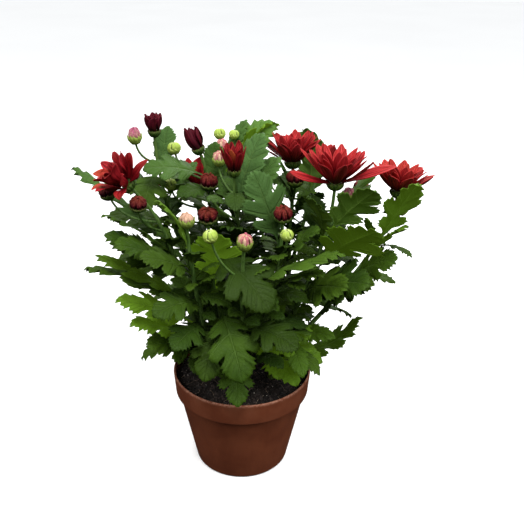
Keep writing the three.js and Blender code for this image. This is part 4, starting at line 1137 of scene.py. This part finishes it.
green = Finish("soft_green_leaf")
vein_count, vein_side, under = green.numbers("surface_map")
own, painted_light, high = green.numbers("surface_tone")
x, y, z = (green.place(axis) for axis in "XYZ")
vein_side = abs(vein_side)
vein_apart = abs(vein_count - vein_count.math("ROUND"))
side_vein = 1.0 - (vein_apart - 0.03 * (1.0 - vein_side)).span(0.004, 0.04)
mid_vein = 1.0 - vein_side.span(0.03, 0.08)
vein = (side_vein * vein_side.span(1.0, 0.6)).math("MAXIMUM", mid_vein)
cells = {"Vector": green.place(), "Scale": 520.0}
net = green.node("ShaderNodeTexVoronoi", {"feature": "DISTANCE_TO_EDGE"}, cells)
net = 1.0 - net.span(0.0, 0.12)
blotches, pores = green.noise(55.0, 3.0, 0.55), green.noise(1400.0, 2.0, 0.6)
# The highest leaves are paler and bluer on both faces: partly young leaves' colour, partly painted
# sheen.
pale_top_and_sheen = (high + own * 0.14).span(0.84, 1.08)
upper_green = (blotches * 0.5 + own * 0.5).span(0.25, 0.75)
upper_green = upper_green.blend((0.02, 0.048, 0.0035), (0.05, 0.1, 0.006))
upper_green = pale_top_and_sheen.blend(upper_green, (0.056, 0.122, 0.028))
upper_green = (vein * 0.24).blend(upper_green, (0.11, 0.19, 0.04))
# The lower face is paler and yellower: partly its own colour, partly painted light shining through.
under_green = blotches.span(0.3, 0.7).blend((0.045, 0.088, 0.005), (0.08, 0.14, 0.008))
under_green = (pale_top_and_sheen * 0.5).blend(under_green, (0.1, 0.19, 0.06))
under_green = (vein * 0.4 + net * 0.1).blend(under_green, (0.16, 0.26, 0.05))
from_middle = (x * x + y * y).math("SQRT")
# Painted light: above nought a leaf turns a brighter, yellower green and glows, as if lit through.
through = painted_light.span(0.0, 1.0)
green.coat(
    [
        under.blend(upper_green, under_green),
        # Painted shade: leaves within about 85 mm of the axis and below about 250 mm are darker.
        (from_middle.span(0.085, 0.025) * z.span(0.27, 0.23) * 0.7, (0.013, 0.03, 0.003)),
        # Painted shade: darker where a leaf's painted light is below nought.
        (painted_light.span(0.0, -1.0) * 0.85, (0.012, 0.026, 0.002)),
        (through, (0.1, 0.2, 0.012)),
    ],
    Roughness=(under * 0.6 + pores * 0.3).span(0.1, 0.8, 0.52, 0.76),
    Specular_IOR_Level=0.1,
    Emission_Color=through.blend((0, 0, 0), (0.1, 0.19, 0.008)),
    Emission_Strength=0.4,
    Normal=((net * 0.25 + pores * 0.25 + vein) * (under * 2.0 - 1.0)).relief(0.0007),
)

seed = leaf_count = 0
for plant, shoots in SHOOTS.items():
    mesh = frame["nodes"][plant].data
    corners = np.empty(len(mesh.vertices) * 3, np.float32)
    mesh.vertices.foreach_get("co", corners)
    corners = np.unique(np.round(corners.reshape(-1, 3) / MM, 3), axis=0)
    wished = []
    for shoot in shoots:
        seed += 1
        for row in shoot["leaves"]:
            wished.append({**row, "foot": point_at_height(shoot["curve"], row["branch"])})
        wished += spiral_leaves(shoot, seed)
    grown = [found for found in (found_leaf(one, corners) for one in wished) if found]
    for k, shoot in enumerate(shoots):
        length = SMALL_LENGTHS.get(plant, SMALL_LENGTH)
        grown += axil_leaves(shoot, 40 + leaf_count + 5.3 * k, length)
    for carrier, k, arch, roll, share, rows in SPROUTS:
        for height, *tip in rows if carrier == plant else []:
            small = small_leaf(shoots[k], height, arch, roll, share)
            grown.append({**small, "tip": vector(*tip)})
    shell = Shell()
    for one in grown:
        leaf_count += 1
        grow_leaf(shell, one, leaf_count)
    shell.piece(f"{plant}_leaves", green.material, "foliage", plant)

# ---------------------------------------------------------------- cups of the heads
# A shallow green cup of narrow overlapping bracts holds each head. Round a small bud the bracts
# stand up as stripes of green and pale membrane, and they close over the smallest, green buds.
BRACT_AGES = {"bloom": 0.0, "half": 0.0, "dark": 0.15, "pink": 0.6, "green": 1.0}
# How much of a bud its bracts cover.
BRACT_REACH = {"dark": 0.22, "pink": 0.86, "green": 0.5}
STRIP_THICKNESS, BRACT_COLUMNS, BOWL_SECTORS = 0.3, 3, 20
BRACT_BULGE, BUD_BULGE = 0.22, 0.08


def smoothed(rows, parts=2):
    """Rows of numbers with a smooth curve through them, cut into parts between each two."""
    rows = np.asarray(rows, float)
    ends = np.concatenate([[2 * rows[0] - rows[1]], rows, [2 * rows[-1] - rows[-2]]])
    made = []
    for a, b, c, d in zip(ends, ends[1:], ends[2:], ends[3:]):
        for t in np.arange(parts) / parts:
            made.append(0.5 * (
                2 * b + (c - a) * t + (2 * a - 5 * b + 4 * c - d) * t * t
                + (3 * b - a - 3 * c + d) * t**3
            ))
    return np.array([*made, rows[-1]])


def placed(head, points):
    """Turns points from a head's own frame, where +Z is its axis, to their place."""
    turn = Vector((0, 0, 1)).rotation_difference(Vector(head["axis"]).normalized())
    return points @ np.array(turn.to_matrix()).T + vector(*head["top"])


def scaled(profile, r):
    return [(radius * r, height * r) for radius, height in profile]


def add_bowl(shell, head, profile, sectors, tone):
    """Adds a solid of revolution round the head's axis, which lies under its bracts or petals."""
    points, faces = turned(profile, sectors)
    shell.add(placed(head, vector(*points)), faces, (0, 0, 0), tone)


def add_strip(shell, head, profile, azimuth, half_widths, columns, bulge, tone):
    """Adds a thin strip that follows a profile of radius and height out of the head's middle."""
    line = smoothed(profile)
    share = np.linspace(0, 1, len(line))[:, None]
    half = np.interp(share, *zip(*half_widths))
    t = np.linspace(-1, 1, columns)
    slope = np.gradient(line, axis=0)
    slope /= np.linalg.norm(slope, axis=1)[:, None]
    turn = math.radians(azimuth) + half * t / np.maximum(line[:, :1], 0.6)
    grids = []
    for side in (STRIP_THICKNESS / 2, -STRIP_THICKNESS / 2):
        lift = bulge * (1 - t * t) + side
        radius = line[:, :1] + slope[:, 1:] * lift
        height = line[:, 1:] - slope[:, :1] * lift
        grid = np.stack([radius * np.cos(turn), radius * np.sin(turn), height], -1)
        grids.append(placed(head, grid))
    shell.plate(*grids, t, share, tone)


def add_cup(shell, head, seed):
    """Adds the bracts of a head, in two rings, over a solid green bowl."""
    kind, r = head["kind"], head["size"]
    if kind in ("bloom", "half"):
        wide, high, width = (6.5, 5, 1.4) if kind == "bloom" else (4.9, 5.2, 1.3)
        bowl = [
            (0, -1.2), (2.4, -1.1), (wide * 0.8, 0.9), (wide, high - 1.2), (wide - 1.2, high - 1),
            (0, high - 1),
        ]
        rings = [(0, 15, 1.0, high), (12, 15, 0.86, high * 0.7)]
    else:
        wide, high, width = r, (0.62 + 0.8 * BRACT_REACH[kind]) * r, 0.3 * r
        bowl = [(0.45, -0.25), (0.85, 0.15), (0.95, 0.5), (0.75, 0.45), (0, 0.45)]
        bowl = [(0, -1), *scaled(bowl, r)]
        rings = [(0, 11, 1.0, high), (16, 11, 0.97, high * 0.8)]
    add_bowl(shell, head, bowl, BOWL_SECTORS, (BRACT_AGES[kind], 0.5, 0))
    for turn, count, reach, top in rings:
        for i in range(count):
            grow = 1 + 0.07 * draw(seed + 2, i)
            profile = [
                (0.6, -0.8), (wide * 0.55 * reach, -0.1 * top - 0.4),
                (wide * 0.93 * reach, 0.32 * top), (wide * reach + 0.25, 0.7 * top * grow),
                (wide * reach * 0.99, top * grow),
            ]
            azimuth = turn + 360 * (i + 0.2 * draw(seed, i)) / count
            widths = [(0, 0.3), (0.35, width), (0.75, width * 0.85), (1, 0.12)]
            tone = (BRACT_AGES[kind], 0.5 + 0.5 * draw(seed + 4, i), 1)
            add_strip(shell, head, profile, azimuth, widths, BRACT_COLUMNS, BRACT_BULGE, tone)
    if kind == "green":
        shut = [(0, 0.2), (0.8, 0.4), (0.9, 0.95), (0.66, 1.32), (0.3, 1.42), (0, 1.36)]
        add_bowl(shell, head, scaled(shut, r), BOWL_SECTORS, (1.4, 0.9, 0))
        widths = [(0, 0.22 * r), (0.45, 0.29 * r), (0.8, 0.2 * r), (1, 0.05 * r)]
        form, tone = (widths, BRACT_COLUMNS, BUD_BULGE * r), (1.0, 0.8, 1)
        for ring, (count, top, close) in enumerate(((10, 1.5, 0.42), (7, 1.58, 0.16))):
            over = [
                (0.78, 0.25), (1.02, 0.62), (0.98, 1.05), (0.5 * close + 0.5, top - 0.08),
                (close, top),
            ]
            for i in range(count):
                azimuth = 360 * (i + 0.5 * ring) / count + 6 * draw(seed + 6, i)
                add_strip(shell, head, scaled(over, r), azimuth, *form, tone)


bract = Finish("green_bracts")
across, along = bract.numbers("surface_map", "XY")
age, own = bract.numbers("surface_tone", "XY")
across = abs(across)
grain = bract.noise(1500.0)
bract.coat(
    [
        (grain * 0.5 + own * 0.5).span(0.3, 0.7).blend((0.024, 0.055, 0.006), (0.06, 0.105, 0.012)),
        (age.span(0.1, 0.95), (0.32, 0.43, 0.07)),
        (along.span(0.5, 0.1) * age.span(0.5, 1.0) * 0.7, (0.1, 0.17, 0.02)),
        (across.span(0.85, 1.0) * age.span(0.7, 1.0) * 0.6, (0.09, 0.15, 0.02)),
        (across.span(0.6, 0.95) * age.span(-0.2, 0.7) * 0.4, (0.4, 0.46, 0.16)),
        (along.span(0.7, 1.0) * age.span(0.7, 1.0) * 0.6, (0.6, 0.66, 0.3)),
        (along.span(0.72, 1.0) * age.span(0.9, 0.1) * 0.5, (0.12, 0.045, 0.03)),
    ],
    Roughness=grain.span(0.3, 0.7, 0.5, 0.65),
    Specular_IOR_Level=0.12,
    Normal=grain.relief(0.0002),
)
for plant, shoots in SHOOTS.items():
    shell = Shell()
    for head in (head for shoot in shoots for head in (shoot, *shoot["buds"])):
        add_cup(shell, head, head["top"][0] + head["size"])
    shell.piece(f"{plant}_cups", bract.material, "foliage", plant)

# ---------------------------------------------------------------- open and half-open heads
# Layers of long soft petals, ribbed along their length and cupped, deep red at the root and
# brighter towards their blunt tips. The middle is closed by short petals that still curl in.
LAYER = ("count", "elevation", "length", "hub", "height", "bend", "width")
LAYERS = {
    "bloom": [
        (9, 32, 1, 5, 5, 0.14, 9.2), (7, 50, 0.9, 4, 6.6, 0.1, 8.8),
        (4, 68, 0.72, 2.9, 8.2, 0.06, 7.8),
    ],
    "half": [(6, 68, 1, 3.8, 3.8, 0.2, 6.8), (3, 82, 0.88, 2.2, 5.4, 0.04, 5.4)],
}
# Finer petals that the solids leave out, between their layers and in the middle of the head.
FILLING = {
    "bloom": [
        (9, 41, 0.93, 4.6, 5.8, 0.12, 8), (7, 59, 0.82, 3.4, 7.4, 0.06, 7.4),
        (6, 78, 0.5, 1.9, 8, -0.1, 5.4),
    ],
    "half": [(7, 76, 0.96, 3.3, 4.4, 0.16, 5.6), (5, 84, 0.84, 1.6, 5, 0.02, 4.8)],
}
AZIMUTH_SPREAD, ELEVATION_SPREAD, LENGTH_SPREAD = 5, 6, 0.08
FINE_AZIMUTH_SPREAD, FINE_ELEVATION_SPREAD, FINE_LENGTH_SPREAD = 12, 5, 0.1
STEEPEST, FINE_STEEPEST, APART_ROLL = 84, 86, 30
PETAL_THICKNESS, PETAL_CUP, PETAL_COLUMNS = 0.34, 1.35, 7
NOTCH, RIBS, SWAY = 0.012, 0.26, 0.045
LOOSE = {"bloom": 0.07, "half": 0.02}
PETAL_EDGE = [
    (0, 0.4), (0.12, 0.48), (0.28, 0.69), (0.45, 0.89), (0.59, 0.97), (0.73, 0.91), (0.85, 0.71),
    (0.93, 0.46), (0.975, 0.25), (1, 0.06),
]
SLOTS = {"bloom": "petals_red", "half": "petals_half", "dark": "petals_dark", "pink": "petals_pink"}
# How orange the petals' tips are where they differ from the others', and a bloom that has no
# finer petals.
WARM, WARM_TIP = {"bloom_1": 1.0, "bloom_3": 0.15, "half_3": 0.0}, 0.06
SPARSE = ["bloom_1"]
# Heads whose petals curl in more, or out.
CURL = {"half_2": 0.12, "half_3": -0.07}


def grow_petal(shell, head, layer, petal, seed, tone):
    """Adds one petal: rows from its root to its tip, with three ribs along it."""
    side = heading(petal["azimuth"] + 90)
    along = heading(petal["azimuth"], petal["elevation"])
    face = np.cross(along, side)
    roll = math.radians(petal.get("roll", 0)) * (1 if side[1] > 0 else -1)
    side, face = (
        side * math.cos(roll) + face * math.sin(roll), face * math.cos(roll) - side * math.sin(roll)
    )
    root = heading(petal["azimuth"]) * layer["hub"] + vector(0, 0, layer["height"])
    s, half = (part[:, None] for part in smoothed(PETAL_EDGE).T)
    t = np.linspace(-1, 1, PETAL_COLUMNS)[None, :]
    q = half * t
    length = petal["length"]
    notch = NOTCH * np.cos(np.pi * t * 2.2) * np.clip((s - 0.85) / 0.15, 0, 1)
    ribs = RIBS * np.cos(3 * np.pi * t) * np.sin(np.pi * np.clip(s * 1.05, 0, 1))
    loose = LOOSE[head["kind"]]
    wave = 7 * loose * draw(seed, 1) * np.sin(2.2 * np.pi * s + 3 * draw(seed, 2)) * t
    hook = loose * length * draw(seed, 3) * np.clip((s - 0.6) / 0.4, 0, 1) ** 2
    bend = length * (layer["bend"] + CURL.get(head["name"], 0)) * s * s
    rise = bend + PETAL_CUP * q * q + ribs + wave + hook
    sway = SWAY * length * draw(seed, 4) * np.sin(np.pi * s * 0.9)
    middle = root + along * (length * (s + notch))[..., None]
    middle = middle + side * (petal["width"] / 2 * q + sway)[..., None]
    upper, lower = (
        placed(head, middle + face * (rise + thickness)[..., None])
        for thickness in (PETAL_THICKNESS / 2, -PETAL_THICKNESS / 2)
    )
    shell.plate(upper, lower, t, s, tone)


def petal_width(head, layer):
    """Petals that stand steep press together, so they are narrower."""
    elevation = math.radians(min(layer["elevation"] - head.get("opening", 0), STEEPEST))
    reach = 0.6 * math.cos(elevation) - layer["bend"] * 0.36 * math.sin(elevation)
    radius = layer["hub"] + layer["length"] * head["size"] * reach
    return min(layer["width"], 2.4 * radius * math.tan(math.pi / layer["count"]))


def petals_of(head, seed):
    """Each petal with its layer, spread by the same draws as the solids'."""
    opening, size = head.get("opening", 0), head["size"]
    for k, row in enumerate(LAYERS[head["kind"]]):
        layer, petals = dict(zip(LAYER, row)), []
        for i in range(layer["count"]):
            turn = AZIMUTH_SPREAD * draw(seed, 3 * i + k)
            lift = ELEVATION_SPREAD * draw(seed + 7, 5 * i + k)
            more = LENGTH_SPREAD * draw(seed + 13, 7 * i + k)
            petals.append({
                "azimuth": 360 * (i + 0.5 * k) / layer["count"] + turn,
                "elevation": min(layer["elevation"] - opening + lift, STEEPEST),
                "length": layer["length"] * size * (1 + more),
                "width": petal_width(head, layer),
            })
        for azimuth, elevation, length in head.get("apart", []) if k == 0 else []:
            nearest = min(petals, key=lambda p: abs((p["azimuth"] - azimuth + 540) % 360 - 180))
            nearest.update(elevation=elevation, length=length, roll=APART_ROLL)
        yield from ((layer, petal) for petal in petals)
    for k, row in enumerate(FILLING[head["kind"]] if head["name"] not in SPARSE else []):
        layer = dict(zip(LAYER, row))
        for i in range(layer["count"]):
            turn = FINE_AZIMUTH_SPREAD * draw(seed + 21, i + k)
            lift = FINE_ELEVATION_SPREAD * draw(seed + 23, i + k) - 0.8 * opening
            more = FINE_LENGTH_SPREAD * draw(seed + 29, i + k)
            yield layer, {
                "azimuth": 360 * (i + 0.3 * k) / layer["count"] + turn,
                "elevation": min(layer["elevation"] + lift, FINE_STEEPEST),
                "length": layer["length"] * size * (1 + more),
                "width": petal_width(head, layer),
            }


def red_finish(name, deep, mid, bright, back):
    """Petals that run from deep at the root to bright at the tip, with streaks along them."""
    finish = Finish(name)
    across, along, behind = finish.numbers("surface_map")
    own, warm, dim = finish.numbers("surface_tone")
    lanes = {0: across * 1.1 + own * 9.0, 1: along * 0.35, 2: own * 5.0}
    streaks = finish.noise(4.5, 4.0, 0.6, finish.node("ShaderNodeCombineXYZ", {}, lanes))
    furrows = (across * 9.42).math("COSINE") * 0.5 + 0.5
    # Painted highlight: bright streaks towards the tip, a little brighter along the ribs.
    light = (streaks + furrows * 0.1).span(0.47, 0.66) * along.span(0.15, 0.75)
    # Painted highlight: the side rims of the petals turn brighter towards the tip.
    painted_rim_highlight = abs(across).span(0.7, 1.0) * along.span(0.35, 0.9)
    return finish.coat(
        [
            (along * 0.9 + streaks * 0.4).span(0.3, 0.8).blend(deep, mid),
            (light * (0.5 + own * 0.5), bright),
            # Dark streaks of the petals' own, and painted shade in the furrows between the ribs.
            (streaks.span(0.53, 0.37) * 0.75 + (1.0 - furrows) * 0.3, deep),
            (painted_rim_highlight * 0.4, tuple(1.15 * part for part in bright)),
            (warm * along.span(0.3, 0.9), (0.5, 0.12, 0.028)),
            (behind * along.span(0.2, 0.7) * 0.4, back),
            # Painted shade: where the tone's third number is set, the petals turn deep.
            (dim, deep),
        ],
        Roughness=streaks.span(0.3, 0.7, 0.62, 0.46),
        Specular_IOR_Level=0.12,
        Normal=(streaks * 0.8 + finish.noise(1800.0, 2.0) * 0.2).relief(0.0005),
    )


red = red_finish(
    "red_petal", (0.1, 0.0008, 0.003), (0.35, 0.007, 0.013), (0.55, 0.038, 0.044),
    (0.36, 0.02, 0.028),
)
wine = red_finish(
    "wine_petal", (0.022, 0.0006, 0.003), (0.085, 0.003, 0.011), (0.19, 0.012, 0.03),
    (0.06, 0.003, 0.01),
)
scarlet = red_finish(
    "scarlet_petal", (0.03, 0.0006, 0.002), (0.19, 0.004, 0.008), (0.36, 0.016, 0.02),
    (0.2, 0.006, 0.01),
)
counts = {}
heads = []
for seed, shoot in enumerate((shoot for shoots in SHOOTS.values() for shoot in shoots), 1):
    for head in (shoot, *shoot["buds"]):
        kind = head["kind"]
        counts[kind] = counts.get(kind, 0) + 1
        heads.append({**head, "name": f"{kind}_{counts[kind]}", "seed": seed + head["top"][0]})

for head in heads:
    name, kind, seed = head["name"], head["kind"], head["seed"]
    if kind not in LAYERS:
        continue
    shell = Shell()
    for number, (layer, petal) in enumerate(petals_of(head, seed), 1):
        warm, dim = WARM.get(name, WARM_TIP) * (0.7 + 0.3 * draw(seed, number)), 0.0
        # The inner front petals of one head are orange, and a bloom's right half is painted shade.
        if name == "half_3" and number > 9 and abs(petal["azimuth"] - 265) < 25:
            warm = 0.75
        if name == "bloom_1" and abs((petal["azimuth"] + 180) % 360 - 180) < 100:
            warm, dim = 0.25 * warm, 0.5
        tone = (0.5 + 0.5 * draw(seed + number, 1), warm, dim)
        grow_petal(shell, head, layer, petal, seed + 3.1 * number, tone)
    look = red if kind == "bloom" else scarlet if name == "half_3" else wine
    shell.piece(f"{name}_petals", look, SLOTS[kind], name)

# ---------------------------------------------------------------- closed buds
# Balls of narrow petals that curl in over one another, dark maroon on the larger buds and pale
# pink to cream on the small ones. Each petal is a separate finger with a dark gap beside it.

# Rings of fingers: their count, how far out they stand, how high, how far they close, how wide.
RINGS = {
    "dark": [
        (17, 1.0, 1.42, 0.68, 0.14), (14, 0.92, 1.6, 0.5, 0.145), (10, 0.78, 1.72, 0.32, 0.15),
        (6, 0.56, 1.6, 0.17, 0.13),
    ],
    "pink": [(11, 1.0, 1.6, 0.46, 0.25), (9, 0.88, 1.82, 0.25, 0.22), (6, 0.6, 1.92, 0.07, 0.18)],
}
SLIM = {"dark": 1, "pink": 0.84}
# How purple the small buds are, and how long, where they differ.
PURPLE, PURPLE_TINGE = {"pink_4": 0.9, "pink_5": 1.0, "pink_1": 0.3, "pink_3": 0.6}, 0.15
TALL = {"pink_4": 1.15, "pink_5": 1.2}
FINGER_EDGE = [(0, 0.5), (0.35, 1), (0.7, 0.92), (0.92, 0.6), (1, 0.2)]
FINGER_COLUMNS, FINGER_BULGE, CORE_SECTORS = 5, 0.13, 16


def add_bud(shell, head, seed, purple):
    """Adds the rings of fingers of a bud, over a core that closes the gaps between them."""
    r, slim, tall = head["size"], SLIM[head["kind"]], TALL.get(head["name"], 1)
    for k, (count, out, top, close, wide) in enumerate(RINGS[head["kind"]]):
        for i in range(count):
            reach = out * slim * (1 + 0.04 * draw(seed + 5, i + k))
            high = top * tall * (1 + 0.07 * draw(seed + 9, i + 3 * k))
            shut = close * (1 + 0.2 * draw(seed + 13, i + 3 * k))
            profile = scaled([
                (0.42 * reach, 0.24), (0.88 * reach, 0.62), (1.02 * reach, 1.05),
                (0.9 * reach, high - 0.2), (shut + 0.16 * reach, high), (shut, high - 0.08),
            ], r)
            widths = [(t, share * wide * r) for t, share in FINGER_EDGE]
            azimuth = 360 * (i + 0.5 * k) / count + 10 * draw(seed + k, i)
            tone = (0.5 + 0.5 * draw(seed + 11, i + 2 * k), purple, 0)
            form = (widths, FINGER_COLUMNS, FINGER_BULGE * r)
            add_strip(shell, head, profile, azimuth, *form, tone)
    # On the maroon buds the core's deep colour is painted shade in the gaps between the fingers.
    core = [(0, 0.26), (0.4, 0.3), (0.8, 0.8), (0.74, 1.15), (0.4, 1.36), (0, 1.38)]
    core = [(radius * slim, height) for radius, height in core]
    add_bowl(shell, head, scaled(core, r), CORE_SECTORS, (0, purple, 0))


maroon = red_finish(
    "maroon_petal", (0.014, 0.0003, 0.002), (0.08, 0.0015, 0.008), (0.2, 0.01, 0.022),
    (0.03, 0.001, 0.004),
)
pink = Finish("pale_pink_petal")
across, along = pink.numbers("surface_map", "XY")
own, purple = pink.numbers("surface_tone", "XY")
lanes = {0: across * 2.0 + own * 7.0, 1: along * 1.2}
streaks = pink.noise(3.5, 3.0, 0.6, pink.node("ShaderNodeCombineXYZ", {}, lanes))
pink.coat(
    [
        (streaks + own * 0.5).span(0.5, 0.9).blend((0.62, 0.43, 0.27), (0.5, 0.14, 0.17)),
        (along.span(0.6, 1.0) * own.span(0.3, 0.8) * 0.6, (0.4, 0.07, 0.12)),
        (purple * (streaks + along * 0.3).span(0.45, 0.75), (0.3, 0.045, 0.13)),
        # Painted shade: each finger darkens towards its edges, beside the gaps.
        (abs(across).span(0.55, 1.0) * 0.5, (0.3, 0.12, 0.08)),
    ],
    Roughness=streaks.span(0.3, 0.7, 0.6, 0.5),
    Specular_IOR_Level=0.14,
    Normal=streaks.relief(0.0003),
)
for head in heads:
    if head["kind"] in RINGS:
        shell = Shell()
        add_bud(shell, head, head["seed"], PURPLE.get(head["name"], PURPLE_TINGE))
        look = maroon if head["kind"] == "dark" else pink.material
        shell.piece(f"{head['name']}_petals", look, SLOTS[head["kind"]], head["name"])

# ---------------------------------------------------------------- sizes
boxes = {"cad": solid_box, "visual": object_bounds()}
{key: [list(corner) for corner in box] for key, box in boxes.items()}
